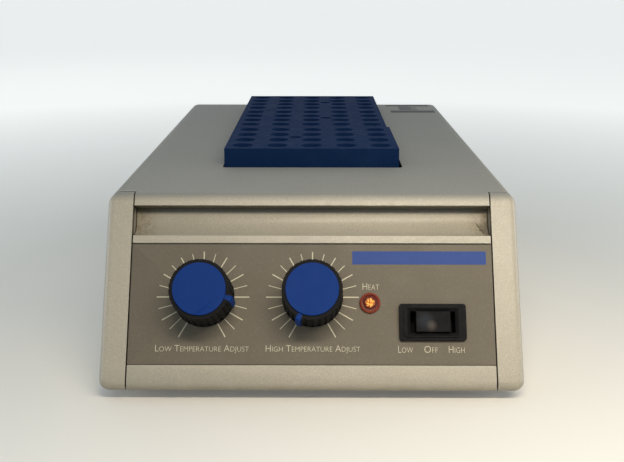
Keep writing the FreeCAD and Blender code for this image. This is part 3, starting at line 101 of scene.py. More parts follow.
class Shader:
    """A material's node tree, with short calls for the nodes used here."""

    def __init__(self, name, colour, roughness=0.5, metallic=0.0, shine=0.5):
        self.material = bpy.data.materials.new(name)
        self.material.use_nodes = True
        self.nodes = self.material.node_tree.nodes
        self.links = self.material.node_tree.links
        self.surface = self.nodes["Principled BSDF"]
        self.surface.inputs["Roughness"].default_value = roughness
        self.surface.inputs["Metallic"].default_value = metallic
        self.surface.inputs["Specular IOR Level"].default_value = shine
        self.colour = self.rgb(colour)
        self.where = self.nodes.new("ShaderNodeTexCoord").outputs["Object"]
        self.bumps = []

    def rgb(self, colour):
        """A plain colour, given as it looks on a screen."""
        node = self.nodes.new("ShaderNodeRGB")
        node.outputs[0].default_value = (*[channel_to_linear(c) for c in colour], 1)
        return node.outputs[0]

    def noise(self, size, detail=2.0, rough=0.5, stretch=None):
        """Noise whose features are about size millimetres wide."""
        node = self.nodes.new("ShaderNodeTexNoise")
        node.inputs["Scale"].default_value = 1 / (size * MM)
        node.inputs["Detail"].default_value = detail
        node.inputs["Roughness"].default_value = rough
        place = self.where
        if stretch:
            mapping = self.nodes.new("ShaderNodeMapping")
            mapping.inputs["Scale"].default_value = stretch
            self.links.new(place, mapping.inputs["Vector"])
            place = mapping.outputs[0]
        self.links.new(place, node.inputs["Vector"])
        return node.outputs["Fac"]

    def ramp(self, source, low, high, at_low=0.0, at_high=1.0):
        """A value that goes from at_low to at_high while its source goes from low to high."""
        node = self.nodes.new("ShaderNodeMapRange")
        settings = {"From Min": low, "From Max": high, "To Min": at_low, "To Max": at_high}
        for name, number in settings.items():
            node.inputs[name].default_value = number
        self.links.new(source, node.inputs["Value"])
        return node.outputs[0]

    def share(self, source, none, full, most=1.0):
        """How much of a tint shows: nothing where the source is none, and most where it is full."""
        return self.ramp(source, none, full, 0.0, most)

    def fade(self, distance, none, full, most=1.0):
        """The same for a distance, with its two ends in millimetres."""
        return self.share(distance, none * MM, full * MM, most)

    def band(self, distance, low, high, soft):
        """One between two distances in millimetres, fading to nothing over a soft edge."""
        return self.product(self.fade(distance, low - soft, low), self.fade(distance, high + soft, high))

    def math(self, operation, first, second):
        """One operation on two values, each a node's output or a number."""
        node = self.nodes.new("ShaderNodeMath")
        node.operation = operation
        for socket, value in zip(node.inputs, (first, second)):
            if isinstance(value, (int, float)):
                socket.default_value = value
            else:
                self.links.new(value, socket)
        return node.outputs[0]

    def product(self, first, *others):
        """The product of nodes and numbers."""
        for other in others:
            first = self.math("MULTIPLY", first, other)
        return first

    def axis(self, name):
        """A point's place along one axis, in metres."""
        node = self.nodes.new("ShaderNodeSeparateXYZ")
        self.links.new(self.where, node.inputs[0])
        return node.outputs[name]

    def aside(self):
        """How far a point lies from the case's middle plane, in metres."""
        return self.math("ABSOLUTE", self.axis("X"), 0.0)

    def along(self, origin, direction):
        """How far a point lies from an origin in a direction, in metres."""
        away = self.nodes.new("ShaderNodeVectorMath")
        away.operation = "SUBTRACT"
        away.inputs[1].default_value = origin
        self.links.new(self.where, away.inputs[0])
        share = self.nodes.new("ShaderNodeVectorMath")
        share.operation = "DOT_PRODUCT"
        share.inputs[1].default_value = direction
        self.links.new(away.outputs[0], share.inputs[0])
        return share.outputs["Value"]

    def away_from(self, point):
        """How far a point lies from another, in metres."""
        node = self.nodes.new("ShaderNodeVectorMath")
        node.operation = "DISTANCE"
        node.inputs[1].default_value = point
        self.links.new(self.where, node.inputs[0])
        return node.outputs["Value"]

    def tint(self, amount, colour):
        """Mix a colour over what the shader shows so far."""
        node = self.nodes.new("ShaderNodeMix")
        node.data_type = "RGBA"
        self.links.new(amount, node.inputs[0])
        self.links.new(self.colour, node.inputs["A"])
        self.links.new(self.rgb(colour), node.inputs["B"])
        self.colour = node.outputs["Result"]

    def bump(self, height, depth, strength=1.0):
        """Relief of a depth in millimetres."""
        node = self.nodes.new("ShaderNodeBump")
        node.inputs["Distance"].default_value = depth * MM
        node.inputs["Strength"].default_value = strength
        self.links.new(height, node.inputs["Height"])
        if self.bumps:
            self.links.new(self.bumps[-1], node.inputs["Normal"])
        self.bumps.append(node.outputs[0])

    def roughness(self, source):
        """Let a node set the roughness."""
        self.links.new(source, self.surface.inputs["Roughness"])

    def done(self):
        """Join what was gathered to the surface, and give the material."""
        self.links.new(self.colour, self.surface.inputs["Base Color"])
        if self.bumps:
            self.links.new(self.bumps[-1], self.surface.inputs["Normal"])
        return self.material


def channel_to_linear(value):
    """A screen colour's channel as an amount of light."""
    return value / 12.92 if value <= 0.04045 else ((value + 0.055) / 1.055) ** 2.4


def darker(colour, share):
    """A colour with each channel cut to a share of itself."""
    return tuple(c * share for c in colour)


# The case paint, and the colours of what lies on it

PAINT = (0.662, 0.632, 0.568)
DARK_SPECK = (0.48, 0.46, 0.41)
PALE_SPECK = (0.84, 0.81, 0.74)
PAINT_CLOUD = (0.52, 0.48, 0.40)
DECK_SHADE_AND_REFLECTION = (0.42, 0.435, 0.435)
LOW_DARKENING = (0.30, 0.27, 0.22)
CUT_EDGE_HIGHLIGHT = (0.86, 0.85, 0.80)
EDGE_SHADE = (0.17, 0.16, 0.14)
JOINT_SHADE = (0.14, 0.13, 0.11)
LIP_SHADE_AND_GRIME = (0.16, 0.15, 0.12)
YELLOW_STAIN = (0.40, 0.35, 0.22)
SCUFF_PAINTED_SHADOW = (0.26, 0.23, 0.17)
SCRATCH = (0.13, 0.11, 0.08)


def make_case_paint():
    """Warm grey textured paint: fine relief, small specks, a duller deck darkened by painted shade and a
    painted cool reflection, and darker patches low down.
    """
    paint = Shader("case_paint", PAINT, shine=0.45)
    height = paint.axis("Z")
    specks = paint.noise(0.6, rough=0.6)
    paint.tint(paint.share(specks, 0.56, 0.70, most=0.34), DARK_SPECK)
    paint.tint(paint.share(specks, 0.42, 0.30, most=0.34), PALE_SPECK)
    clouds = paint.noise(38.0, detail=3.0, rough=0.55)
    paint.tint(paint.share(clouds, 0.45, 0.75, most=0.16), PAINT_CLOUD)
    # Painted shade and a painted cool reflection darken and grey the deck; the same share also makes the
    # deck duller.
    deck = paint.fade(height, EDGE_Z - 3.4, EDGE_Z - 0.3, most=0.68)
    paint.tint(deck, DECK_SHADE_AND_REFLECTION)
    # Darker in noisy patches towards the bottom of the case.
    low_down = paint.fade(height, 16.0, 4.0, most=0.5)
    paint.tint(paint.product(low_down, paint.noise(9.0, detail=4.0, rough=0.7)), LOW_DARKENING)
    paint.bump(paint.noise(0.9, detail=3.0, rough=0.6), 0.07, strength=0.7)
    satin = paint.ramp(paint.noise(1.4), 0.3, 0.7, 0.34, 0.50)
    paint.roughness(paint.math("ADD", satin, paint.product(deck, 0.38)))
    add_groove_shade_and_wear(paint)
    add_seam_shade(paint)
    return paint.done()


def add_groove_shade_and_wear(paint):
    """Painted shade with a little grime under the lip, yellow stains at the groove's ends, and a scuff by
    its right end.
    """
    across = paint.axis("X")
    down = paint.along(on_face(0, 0), -UP_SLOPE)
    groove = mask_groove(paint, down)
    # Painted shade, with a little grime, darkens the groove just under the lip.
    paint.tint(paint.product(groove, paint.fade(down, LIP_LEVEL + 2.0, LIP_LEVEL, most=0.8)), LIP_SHADE_AND_GRIME)
    stains = paint.share(paint.noise(2.6, detail=5.0, rough=0.75), 0.38, 0.62)
    for side in (-1, 1):
        end = paint.fade(across, side * 73.0, side * 85.0, most=0.75)
        paint.tint(paint.product(end, stains, groove), YELLOW_STAIN)
    add_scuff(paint, groove, across, down)


def mask_groove(paint, down):
    """One inside the finger groove, between the cheeks, and nothing on the rest of the case."""
    behind = paint.fade(paint.along(on_face(0, 0), OUTWARDS), -0.9, -1.8)
    below_top = paint.fade(down, GROOVE_TOP, GROOVE_TOP + 0.6)
    above_bottom = paint.fade(down, GROOVE_BOTTOM, GROOVE_BOTTOM - 1.0)
    inside = paint.fade(paint.aside(), JOINT_ACROSS + 0.3, JOINT_ACROSS)
    return paint.product(behind, below_top, above_bottom, inside)


SCUFF_START = Vector((79.4, 12.4))
SCUFF_END = Vector((82.8, 20.0))
SCUFF_WAVER = 2.4


def add_scuff(paint, groove, across, down):
    """A dark wavering scratch that runs down the groove's right end, with a painted shadow on its outer
    side.
    """
    run = (SCUFF_END - SCUFF_START).normalized()
    beside = paint.along(on_face(*SCUFF_START), ACROSS * run.y + UP_SLOPE * run.x)
    waver = paint.math("SUBTRACT", paint.noise(2.2, detail=3.0, rough=0.6), 0.5)
    beside = paint.math("ADD", beside, paint.product(waver, SCUFF_WAVER * MM))
    near = paint.product(groove, paint.fade(across, 77.0, 78.0), paint.fade(down, 12.0, 12.6))
    # A painted shadow darkens the outer side of the scratch.
    scuff_shadow = paint.product(paint.fade(beside, 0.0, 0.6, most=0.45), paint.fade(down, 12.0, 14.0))
    paint.tint(paint.product(near, scuff_shadow), SCUFF_PAINTED_SHADOW)
    paint.tint(paint.product(near, paint.band(beside, -0.1, 0.1, soft=0.32), 0.85), SCRATCH)


def add_seam_shade(paint):
    """Painted shade in the open joints round the cheeks and along the deck's cut edge, and a painted
    highlight along that edge.
    """
    out = paint.along(on_face(0, 0), OUTWARDS)
    aside = paint.aside()
    at_cheeks = paint.fade(aside, JOINT_ACROSS + JOINT_WIDTH - 0.2, JOINT_ACROSS + JOINT_WIDTH)
    # A painted highlight along the deck's cut edge, where its rounded edge would catch the light.
    edge_highlight = paint.band(out, CUT_EDGE_OUT - 0.6, CUT_EDGE_OUT - 0.1, soft=0.15)
    paint.tint(paint.product(edge_highlight, at_cheeks, 0.55), CUT_EDGE_HIGHLIGHT)
    # Painted shade in the gap at the deck's cut edge.
    cut_edge = paint.band(out, CUT_EDGE_OUT - 0.03, CUT_EDGE_OUT + 0.3, soft=0.03)
    paint.tint(paint.product(cut_edge, at_cheeks), EDGE_SHADE)
    # Painted shade in the open joints beside the cheeks.
    joint = paint.band(aside, JOINT_ACROSS - 0.06, JOINT_ACROSS + JOINT_WIDTH + 0.06, soft=0.05)
    in_front = paint.fade(out, CUT_EDGE_OUT, CUT_EDGE_OUT + 0.2, most=0.85)
    paint.tint(paint.product(joint, in_front), JOINT_SHADE)


def make_overlay_print():
    """Matte taupe film with a very fine grain and faint handling marks."""
    film = Shader("overlay_print", (0.415, 0.385, 0.335), shine=0.2)
    dark_grain = (0.34, 0.32, 0.27)
    pale_grain = (0.58, 0.55, 0.48)
    handled = (0.38, 0.35, 0.30)
    grain = film.noise(0.7, rough=0.6)
    film.tint(film.share(grain, 0.55, 0.72, most=0.30), dark_grain)
    film.tint(film.share(grain, 0.42, 0.28, most=0.26), pale_grain)
    film.tint(film.share(film.noise(30.0, detail=3.0, rough=0.6), 0.45, 0.8, most=0.2), handled)
    film.bump(film.noise(0.35), 0.012, strength=0.5)
    film.roughness(film.ramp(film.noise(14.0, detail=4.0, rough=0.6), 0.35, 0.7, 0.5, 0.64))
    return film.done()


def make_block_blue():
    """Deep blue dyed aluminium, bead blasted, a little paler where handling has rubbed it."""
    metal = Shader("block_blue", (0.060, 0.148, 0.285), shine=0.04)
    deep = (0.05, 0.10, 0.19)
    rubbed = (0.13, 0.22, 0.34)
    metal.tint(metal.share(metal.noise(0.5, rough=0.6), 0.5, 0.75, most=0.3), deep)
    metal.tint(metal.share(metal.noise(16.0, detail=4.0, rough=0.65), 0.5, 0.8, most=0.28), rubbed)
    metal.bump(metal.noise(0.3), 0.012, strength=0.5)
    metal.roughness(metal.ramp(metal.noise(6.0, detail=4.0, rough=0.6), 0.35, 0.7, 0.72, 0.84))
    return metal.done()


def start_plastic(name, colour, roughness, grain=0.35, depth=0.012, dust=0.12, shine=0.2):
    """The shader of a moulded plastic, with a fine grain and a trace of dust."""
    plastic = Shader(name, colour, shine=shine)
    dusty = tuple(min(1.0, c * 0.8 + 0.16) for c in colour)
    plastic.tint(plastic.share(plastic.noise(7.0, detail=4.0, rough=0.65), 0.45, 0.8, most=dust), dusty)
    plastic.bump(plastic.noise(grain), depth, strength=0.6)
    patches = plastic.noise(3.0, detail=3.0, rough=0.6)
    plastic.roughness(plastic.ramp(patches, 0.3, 0.7, roughness - 0.06, roughness + 0.08))
    return plastic


def make_plastic(name, **look):
    """A plain moulded plastic."""
    return start_plastic(name, **look).done()


def make_dark_plastic():
    """Matte black plastic; on the rocker a pale spot, partly rubbed where a finger tips it and partly a
    painted sheen, and a faint painted bluish sheen beside it.
    """
    plastic = start_plastic("dark_plastic", (0.055, 0.056, 0.060), 0.6, dust=0.04, shine=0.1)
    rubbed = (0.42, 0.38, 0.35)
    blue_sheen = (0.42, 0.45, 0.50)
    # A pale spot on the rocker: partly wear from the finger, partly a painted sheen.
    from_rubbed_sheen = plastic.away_from(on_face(SWITCH_ACROSS - 0.7, SWITCH_LEVEL + 2.2, ROCKER_OUT))
    plastic.tint(plastic.fade(from_rubbed_sheen, 2.9, 0.4, most=0.42), rubbed)
    # A faint painted bluish sheen on the rocker's left part.
    from_blue_sheen = plastic.away_from(on_face(SWITCH_ACROSS - 3.6, SWITCH_LEVEL, ROCKER_OUT))
    plastic.tint(plastic.fade(from_blue_sheen, 5.0, 1.5, most=0.10), blue_sheen)
    return plastic.done()


def make_metal(name, colour, roughness, grain=(1, 1, 1)):
    """Bare metal with faint streaks, drawn out along the axis where grain is small."""
    metal = Shader(name, colour, metallic=1.0)
    lines = metal.noise(3.0, detail=3.0, rough=0.6, stretch=grain)
    metal.tint(metal.share(lines, 0.4, 0.75, most=0.25), darker(colour, 0.7))
    metal.roughness(metal.ramp(lines, 0.3, 0.7, roughness - 0.07, roughness + 0.1))
    metal.bump(lines, 0.01, strength=0.35)
    return metal.done()


def make_fibre(name, colour):
    """Loose mineral fibre, matted in layers."""
    fibre = Shader(name, colour, 0.95)
    strands = fibre.noise(1.6, detail=6.0, rough=0.7, stretch=(1, 0.35, 2.4))
    fibre.tint(fibre.share(strands, 0.45, 0.7, most=0.5), darker(colour, 0.72))
    fibre.bump(strands, 0.5, strength=0.7)
    return fibre.done()


def make_ink(name, colour):
    """Screen-printed ink, slightly uneven."""
    ink = Shader(name, colour, 0.55, shine=0.15)
    ink.tint(ink.share(ink.noise(0.6, rough=0.6), 0.5, 0.75, most=0.35), darker(colour, 0.72))
    ink.bump(ink.noise(0.3, detail=1.0), 0.006, strength=0.4)
    return ink.done()


def make_lamp_amber():
    """Tinted lens over a small lamp: it glows at its middle and is dark red at its ring."""
    lens = Shader("lamp_amber", (0.50, 0.20, 0.11), 0.36, shine=0.3)
    dark_ring = (0.34, 0.09, 0.05)
    amber = (0.62, 0.24, 0.07)
    bright = (1.0, 0.78, 0.40)
    from_middle = lens.away_from(on_face(LAMP_ACROSS, LAMP_LEVEL))
    facets = lens.noise(0.8, detail=3.0, rough=0.7)
    inside = lens.fade(from_middle, 3.0, 2.5)
    lens.tint(lens.fade(from_middle, 4.3, 3.9, most=0.9), dark_ring)
    lens.tint(lens.product(inside, 0.9), amber)
    lens.tint(lens.product(inside, lens.share(facets, 0.44, 0.60)), bright)
    glow = lens.product(inside, lens.ramp(facets, 0.35, 0.65, 0.08, 0.55))
    lens.surface.inputs["Emission Color"].default_value = (1.0, 0.38, 0.06, 1)
    lens.links.new(glow, lens.surface.inputs["Emission Strength"])
    return lens.done()


# Every material by its slot, and the inks

RUBBER_GRAIN = {"grain": 0.8, "depth": 0.04}
PLASTICS = {
    "cap_blue": {
        "colour": (0.045, 0.190, 0.445), "roughness": 0.6,
        "grain": 0.4, "depth": 0.02, "dust": 0.03, "shine": 0.1,
    },
    "foot_rubber": {"colour": (0.09, 0.09, 0.085), "roughness": 0.8, "dust": 0.3, **RUBBER_GRAIN},
    "heater_rubber": {"colour": (0.55, 0.22, 0.13), "roughness": 0.7, **RUBBER_GRAIN},
    "wire_sleeve": {"colour": (0.66, 0.63, 0.57), "roughness": 0.5},
    "spacer_ceramic": {"colour": (0.86, 0.84, 0.78), "roughness": 0.5, "grain": 0.8, "depth": 0.03},
    "terminal_plastic": {"colour": (0.16, 0.42, 0.24), "roughness": 0.5},
    "board_laminate": {"colour": (0.10, 0.33, 0.19), "roughness": 0.4},
    "can_sleeve": {"colour": (0.10, 0.10, 0.17), "roughness": 0.4},
    "coil_tape": {"colour": (0.70, 0.57, 0.20), "roughness": 0.35},
    "fuse_tube": {"colour": (0.82, 0.86, 0.86), "roughness": 0.12},
}
DRAWN_ALONG_X = (0.3, 3, 3)
DRAWN_ALONG_Z = (3, 3, 0.3)
METALS = {
    "pan_metal": {"colour": (0.66, 0.66, 0.64), "roughness": 0.45, "grain": DRAWN_ALONG_X},
    "liner_steel": {"colour": (0.60, 0.60, 0.60), "roughness": 0.38, "grain": DRAWN_ALONG_Z},
    "plate_aluminium": {"colour": (0.76, 0.76, 0.77), "roughness": 0.35, "grain": DRAWN_ALONG_X},
    "core_iron": {"colour": (0.34, 0.33, 0.31), "roughness": 0.55, "grain": DRAWN_ALONG_Z},
    "sink_aluminium": {"colour": (0.16, 0.16, 0.17), "roughness": 0.5},
    "small_steel": {"colour": (0.68, 0.67, 0.65), "roughness": 0.32},
    "control_metal": {"colour": (0.70, 0.69, 0.64), "roughness": 0.4},
    "terminal_brass": {"colour": (0.80, 0.66, 0.38), "roughness": 0.3},
}
MATERIALS = {
    "case_paint": make_case_paint(),
    "overlay_print": make_overlay_print(),
    "block_blue": make_block_blue(),
    "lamp_amber": make_lamp_amber(),
    "dark_plastic": make_dark_plastic(),
    "insulation_fibre": make_fibre("insulation_fibre", (0.88, 0.86, 0.80)),
    **{name: make_plastic(name, **look) for name, look in PLASTICS.items()},
    **{name: make_metal(name, **look) for name, look in METALS.items()},
}
CREAM_INK = make_ink("cream_ink", (0.80, 0.775, 0.68))
BLUE_INK = make_ink("blue_ink", (0.205, 0.295, 0.535))
GREY_INK = make_ink("grey_ink", (0.17, 0.20, 0.21))

# Carried-over nodes: their finish, and in millimetres how wide their soft edges are

EDGE_WIDTHS = {
    "heat_block_front": 0.5,
    "heat_block_middle": 0.5,
    "heat_block_rear": 0.5,
    "low_knob": 0.25,
    "high_knob": 0.25,
    "low_knob_cap": 0.3,
    "high_knob_cap": 0.3,
    "switch_housing": 0.35,
    "switch_rocker": 0.5,
    "front_bezel": 0.25,
    "control_overlay": 0.12,
    "top_cover": 0.15,
    "left_cheek": 0.15,
    "right_cheek": 0.15,
    "power_inlet": 0.4,
    "fuse_cap": 0.35,
    "fuse_holder": 0.3,
    "rubber_feet": 0.5,
    "cover_screws": 0.35,
    "inlet_screws": 0.35,
    "foot_screws": 0.3,
}
JOIN_DISTANCE = 0.000002
SOFTENED_ANGLE = math.radians(35)


def soften_edges(node, width):
    """Round a node's sharp edges by a width in millimetres, with modifiers, once its faces are joined."""
    weld = node.modifiers.new("join_faces", "WELD")
    weld.merge_threshold = JOIN_DISTANCE
    bevel = node.modifiers.new("soft_edges", "BEVEL")
    bevel.width = width * MM
    bevel.segments = 2
    bevel.limit_method = "ANGLE"
    bevel.angle_limit = SOFTENED_ANGLE
    bevel.harden_normals = True


def dress_nodes():
    """Give every carried-over node the material of its slot, and its soft edges."""
    slots = {entry["node"]: entry["material_slot"] for entry in frame["record"]["subparts"]}
    for name, node in frame["nodes"].items():
        if node.type != "MESH":
            continue
        node.data.materials.clear()
        node.data.materials.append(MATERIALS[slots[name]])
        if name in EDGE_WIDTHS:
            soften_edges(node, EDGE_WIDTHS[name])


dress_nodes()


def add_piece(name, mesh, material, body="case"):
    """Put a mesh in the scene as a piece that rides on a body."""
    piece = bpy.data.objects.new(name, mesh)
    bpy.context.scene.collection.objects.link(piece)
    mesh.materials.clear()
    mesh.materials.append(material)
    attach(piece, body)
    return piece


# Printed marks, as thin closed plates half sunk in what they are printed on

HALF_INK = 0.04


def plates(name, outlines, place):
    """A mesh of flat plates. Each outline is a list of (x, y) in millimetres, counter-clockwise."""
    mesh = bpy.data.meshes.new(name)
    form = bmesh.new()
    for outline in outlines:
        bottom = [form.verts.new(place @ Vector((x * MM, y * MM, -HALF_INK * MM))) for x, y in outline]
        top = [form.verts.new(place @ Vector((x * MM, y * MM, HALF_INK * MM))) for x, y in outline]
        form.faces.new(top)
        form.faces.new(bottom[::-1])
        count = len(outline)
        for i in range(count):
            j = (i + 1) % count
            form.faces.new((bottom[i], bottom[j], top[j], top[i]))
    form.to_mesh(mesh)
    form.free()
    return mesh


def bar(x0, y0, x1, y1):
    """The outline of an upright rectangle."""
    return [(x0, y0), (x1, y0), (x1, y1), (x0, y1)]


def tick(turn, inner, outer, width):
    """A radial mark, turned clockwise from straight up, in degrees."""
    a = math.radians(turn)
    along = Vector((math.sin(a), math.cos(a)))
    aside = Vector((math.cos(a), -math.sin(a))) * width / 2
    corners = (along * inner - aside, along * inner + aside, along * outer + aside, along * outer - aside)
    return [(c.x, c.y) for c in corners][::-1]


MARK_COUNT = 21
FIRST_MARK = -150
MARK_STEP = 15
MARK_INNER = 13.4
BOLD_MARK = {"outer": 21.6, "width": 0.52}
FINE_MARK = {"outer": 21.2, "width": 0.36}


def make_dial_marks(name, across, down):
    """Marks round a dial, bold and fine by turns."""
    outlines = []
    for step in range(MARK_COUNT):
        mark = BOLD_MARK if step % 2 == 0 else FINE_MARK
        outlines.append(tick(FIRST_MARK + MARK_STEP * step, MARK_INNER, **mark))
    mesh = plates(name, outlines, face_matrix(across, down, OVERLAY_OUT))
    add_piece(name, mesh, CREAM_INK)


SMALL_CAPITALS = 0.78
STROKE_THINNING = -0.014


def make_words(name, words, left, right, row):
    """Small-capital words between two places across the face, in a row given by its top and bottom."""
    curve = bpy.data.curves.new(name, "FONT")
    curve.body = words
    curve.small_caps_scale = SMALL_CAPITALS
    for i, letter in enumerate(words):
        curve.body_format[i].use_small_caps = letter.islower()
    curve.extrude = 0.5
    curve.offset = STROKE_THINNING
    curve.resolution_u = 3
    source = bpy.data.objects.new(name + "_source", curve)
    bpy.context.scene.collection.objects.link(source)
    bpy.context.view_layer.update()
    graph = bpy.context.evaluated_depsgraph_get()
    mesh = bpy.data.meshes.new_from_object(source.evaluated_get(graph))
    bpy.data.objects.remove(source)
    mesh.name = name
    top, bottom = row
    xs = [v.co.x for v in mesh.vertices]
    ys = [v.co.y for v in mesh.vertices]
    place = face_matrix(0, 0, OVERLAY_OUT)
    for v in mesh.vertices:
        x = left + (v.co.x - min(xs)) / (max(xs) - min(xs)) * (right - left)
        y = -bottom + (v.co.y - min(ys)) / (max(ys) - min(ys)) * (bottom - top)
        z = HALF_INK if v.co.z > 0 else -HALF_INK
        v.co = place @ Vector((x * MM, y * MM, z * MM))
    add_piece(name, mesh, CREAM_INK)


def make_band():
    """The plain blue band over the lamp and the switch."""
    outline = bar(19.1, -34.5, 81.8, -28.15)
    mesh = plates("blue_band", [outline], face_matrix(0, 0, OVERLAY_OUT))
    add_piece("blue_band", mesh, BLUE_INK)


def make_deck_mark():
    """Plain worn bars printed on the deck, behind the well's right side."""
    left, right = 56.5, 91.0
    front, rear = BLOCK_FRONT + 204.0, BLOCK_FRONT + 246.5
    front_bar, rear_bar = 11.0, 7.0
    inset = 1.5
    rows_front = front + front_bar + 3.0
    rows_left, rows_right = left + 9.0, right - 12.0
    row_pitch, row_height = 5.2, 3.4
    shortened = 4.0
    outlines = [
        bar(left + inset, front, right, front + front_bar),
        bar(left, rear - rear_bar, right - inset, rear),
    ]
    for row in range(4):
        low = rows_front + row * row_pitch
        row_end = rows_right - shortened * (row % 2)
        outlines.append(bar(rows_left, low, row_end, low + row_height))
    mesh = plates("deck_mark", outlines, Matrix.Translation((0, 0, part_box("top_cover")[1].z)))
    add_piece("deck_mark", mesh, GREY_INK)


DIAL_WORD_ROW = (72.5, 76.2)
LAMP_WORD_ROW = (43.4, 46.5)
SWITCH_WORD_ROW = (72.7, 75.85)
LOW_MARKS_SHIFT = -0.6

make_dial_marks("low_dial_marks", LOW_ACROSS + LOW_MARKS_SHIFT, KNOB_LEVEL)
make_dial_marks("high_dial_marks", HIGH_ACROSS, KNOB_LEVEL)
make_words("low_dial_words", "Low Temperature Adjust", -71.9, -28.8, DIAL_WORD_ROW)
make_words("high_dial_words", "High Temperature Adjust", -21.0, 22.4, DIAL_WORD_ROW)
make_words("lamp_word", "Heat", 23.8, 31.5, LAMP_WORD_ROW)
make_words("switch_low_word", "Low", 39.9, 46.6, SWITCH_WORD_ROW)
make_words("switch_off_word", "Off", 51.9, 58.1, SWITCH_WORD_ROW)
make_words("switch_high_word", "High", 63.1, 70.4, SWITCH_WORD_ROW)
make_band()
make_deck_mark()

# The lamp's lens: its turned profile, as radius and height over the face in millimetres

LENS_PROFILE = [
    (4.85, -0.2), (4.85, 0.7), (4.62, 1.25), (4.2, 1.55), (3.8, 1.4), (3.55, 0.95), (3.2, 0.9),
    (2.95, 1.35), (2.5, 1.8), (1.9, 2.0), (1.2, 2.14), (0.6, 2.0),
]
FACETED_WITHIN = 2.0
FACET_HEIGHT = 0.17
WAVE_PER_SEGMENT = 5.1
WAVE_PER_MILLIMETRE = 7.0
LENS_SEGMENTS = 36


def lens_facet(radius, segment):
    """How far a point of the lens's middle stands out of its turned form, as a wave in two directions."""
    if radius > FACETED_WITHIN:
        return 0.0
    return FACET_HEIGHT * math.sin(WAVE_PER_SEGMENT * segment + WAVE_PER_MILLIMETRE * radius)


def make_lamp_lens():
    """The lens as a turned ring, a dark step and a middle of small facets."""
    mesh = bpy.data.meshes.new("lamp_lens_turned")
    form = bmesh.new()
    place = face_matrix(LAMP_ACROSS, LAMP_LEVEL)
    loops = []
    for radius, out in LENS_PROFILE:
        loop = []
        for i in range(LENS_SEGMENTS):
            turn = 2 * math.pi * i / LENS_SEGMENTS
            height = out + lens_facet(radius, i)
            point = Vector((radius * math.cos(turn), radius * math.sin(turn), height))
            loop.append(form.verts.new(place @ (point * MM)))
        loops.append(loop)
    for first, second in zip(loops, loops[1:]):
        for i in range(LENS_SEGMENTS):
            j = (i + 1) % LENS_SEGMENTS
            form.faces.new((first[i], first[j], second[j], second[i]))
    form.faces.new(loops[-1])
    form.faces.new(loops[0][::-1])
    form.to_mesh(mesh)
    form.free()
    piece = add_piece("lamp_lens_turned", mesh, MATERIALS["lamp_amber"])
    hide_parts("lamp_lens")


make_lamp_lens()

# Floor, lamps and camera

PALE = (0.86, 0.86, 0.84, 1)
PALE_STRENGTH = 0.94
COOL_LIGHT = (0.62, 0.82, 1.0, 1)
COOL_STRENGTH = 0.38
FLOOR_REACH = 15.0
FLOOR_NEAR, FLOOR_FAR = 0.2, 0.9
NEAR_GLOW, FAR_GLOW = 0.12, 0.66


def seen_directly(nodes, join):
    """One for rays from the camera, mirrored rays and rays through glass, and nothing for the rest."""
    rays = nodes.new("ShaderNodeLightPath").outputs
    seen = join("MAXIMUM", rays["Is Camera Ray"], rays["Is Glossy Ray"])
    return join("MAXIMUM", seen, rays["Is Transmission Ray"])


def make_floor():
    """A wide pale floor that grows evenly paler with distance, and keeps the object's shadow."""
    mesh = bpy.data.meshes.new("floor")
    form = bmesh.new()
    bmesh.ops.create_grid(form, x_segments=1, y_segments=1, size=FLOOR_REACH)
    form.to_mesh(mesh)
    form.free()
    floor = bpy.data.objects.new("floor", mesh)
    bpy.context.scene.collection.objects.link(floor)
    shade = Shader("floor", (0.88, 0.86, 0.82), 0.6, shine=0.1)
    glow = shade.ramp(shade.away_from((0, 0, 0)), FLOOR_NEAR, FLOOR_FAR, NEAR_GLOW, FAR_GLOW)
    seen = seen_directly(shade.nodes, shade.math)
    shade.surface.inputs["Emission Color"].default_value = PALE
    shade.links.new(shade.product(glow, seen), shade.surface.inputs["Emission Strength"])
    mesh.materials.append(shade.done())


def add_lamp(name, at, aim, size, power, colour, spread=180):
    """An oblong lamp at a place in metres, turned to another, with its power in watts."""
    light = bpy.data.lights.new(name, "AREA")
    light.shape = "RECTANGLE"
    light.size, light.size_y = size
    light.energy = power
    light.color = colour
    light.spread = math.radians(spread)
    lamp = bpy.data.objects.new(name, light)
    lamp.location = at
    lamp.visible_camera = False
    lamp.rotation_mode = "QUATERNION"
    lamp.rotation_quaternion = (Vector(aim) - Vector(at)).to_track_quat("-Z", "Y")
    bpy.context.scene.collection.objects.link(lamp)


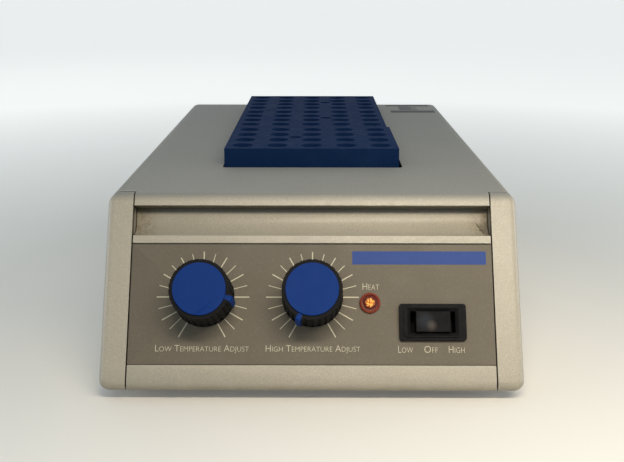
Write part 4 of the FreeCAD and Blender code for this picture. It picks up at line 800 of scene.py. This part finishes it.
def make_world():
    """A soft, slightly cool light from all round, behind a plain pale background."""
    world = bpy.data.worlds.new("studio")
    world.use_nodes = True
    nodes, links = world.node_tree.nodes, world.node_tree.links

    def join(operation, first, second):
        """One operation on two outputs of the world's nodes."""
        node = nodes.new("ShaderNodeMath")
        node.operation = operation
        links.new(first, node.inputs[0])
        links.new(second, node.inputs[1])
        return node.outputs[0]

    light = nodes["Background"]
    light.inputs["Color"].default_value = COOL_LIGHT
    light.inputs["Strength"].default_value = COOL_STRENGTH
    pale = nodes.new("ShaderNodeBackground")
    pale.inputs["Color"].default_value = PALE
    pale.inputs["Strength"].default_value = PALE_STRENGTH
    mix = nodes.new("ShaderNodeMixShader")
    for number, source in enumerate((seen_directly(nodes, join), light.outputs[0], pale.outputs[0])):
        links.new(source, mix.inputs[number])
    links.new(mix.outputs[0], nodes["World Output"].inputs["Surface"])
    bpy.context.scene.world = world


CAMERA_PLACE = (2.52, BLOCK_FRONT - 522.1, EDGE_Z + 103.1)
CAMERA_DOWNWARDS = 15.04
CAMERA_LEFTWARDS = 0.31


def make_camera():
    """The camera at the photograph's viewing angle."""
    data = bpy.data.cameras.new("camera")
    data.lens = 56.0
    data.sensor_width = 36.0
    data.clip_start = 0.01
    camera = bpy.data.objects.new("camera", data)
    camera.location = Vector(CAMERA_PLACE) * MM
    camera.rotation_euler = (math.radians(90 - CAMERA_DOWNWARDS), 0, math.radians(CAMERA_LEFTWARDS))
    bpy.context.scene.collection.objects.link(camera)
    bpy.context.scene.camera = camera


WARM = (1.0, 0.89, 0.73)
COOL = (0.96, 0.98, 1.0)
COOLER = (0.92, 0.96, 1.0)
SIDE_LAMP = {"aim": (0, 0, 0.05), "size": (0.9, 0.3), "power": 4.0, "colour": COOL}
LAMPS = {
    "key": {
        "at": (0.15, -0.472, 0.378), "aim": (0.15, -0.18, 0.04), "size": (0.42, 0.04),
        "power": 0.91, "colour": WARM, "spread": 110,
    },
    "left": {"at": (-1.3, 0, 0.32), **SIDE_LAMP},
    "right": {"at": (1.3, 0.1, 0.32), **SIDE_LAMP},
    "rear": {
        "at": (-0.5, 1.2, 0.9), "aim": (0, 0.1, 0.05), "size": (0.8, 0.6),
        "power": 1.2, "colour": COOLER,
    },
}

make_floor()
make_world()
for lamp_name, lamp in LAMPS.items():
    add_lamp(lamp_name, **lamp)
make_camera()
bpy.context.scene.view_settings.view_transform = "Standard"
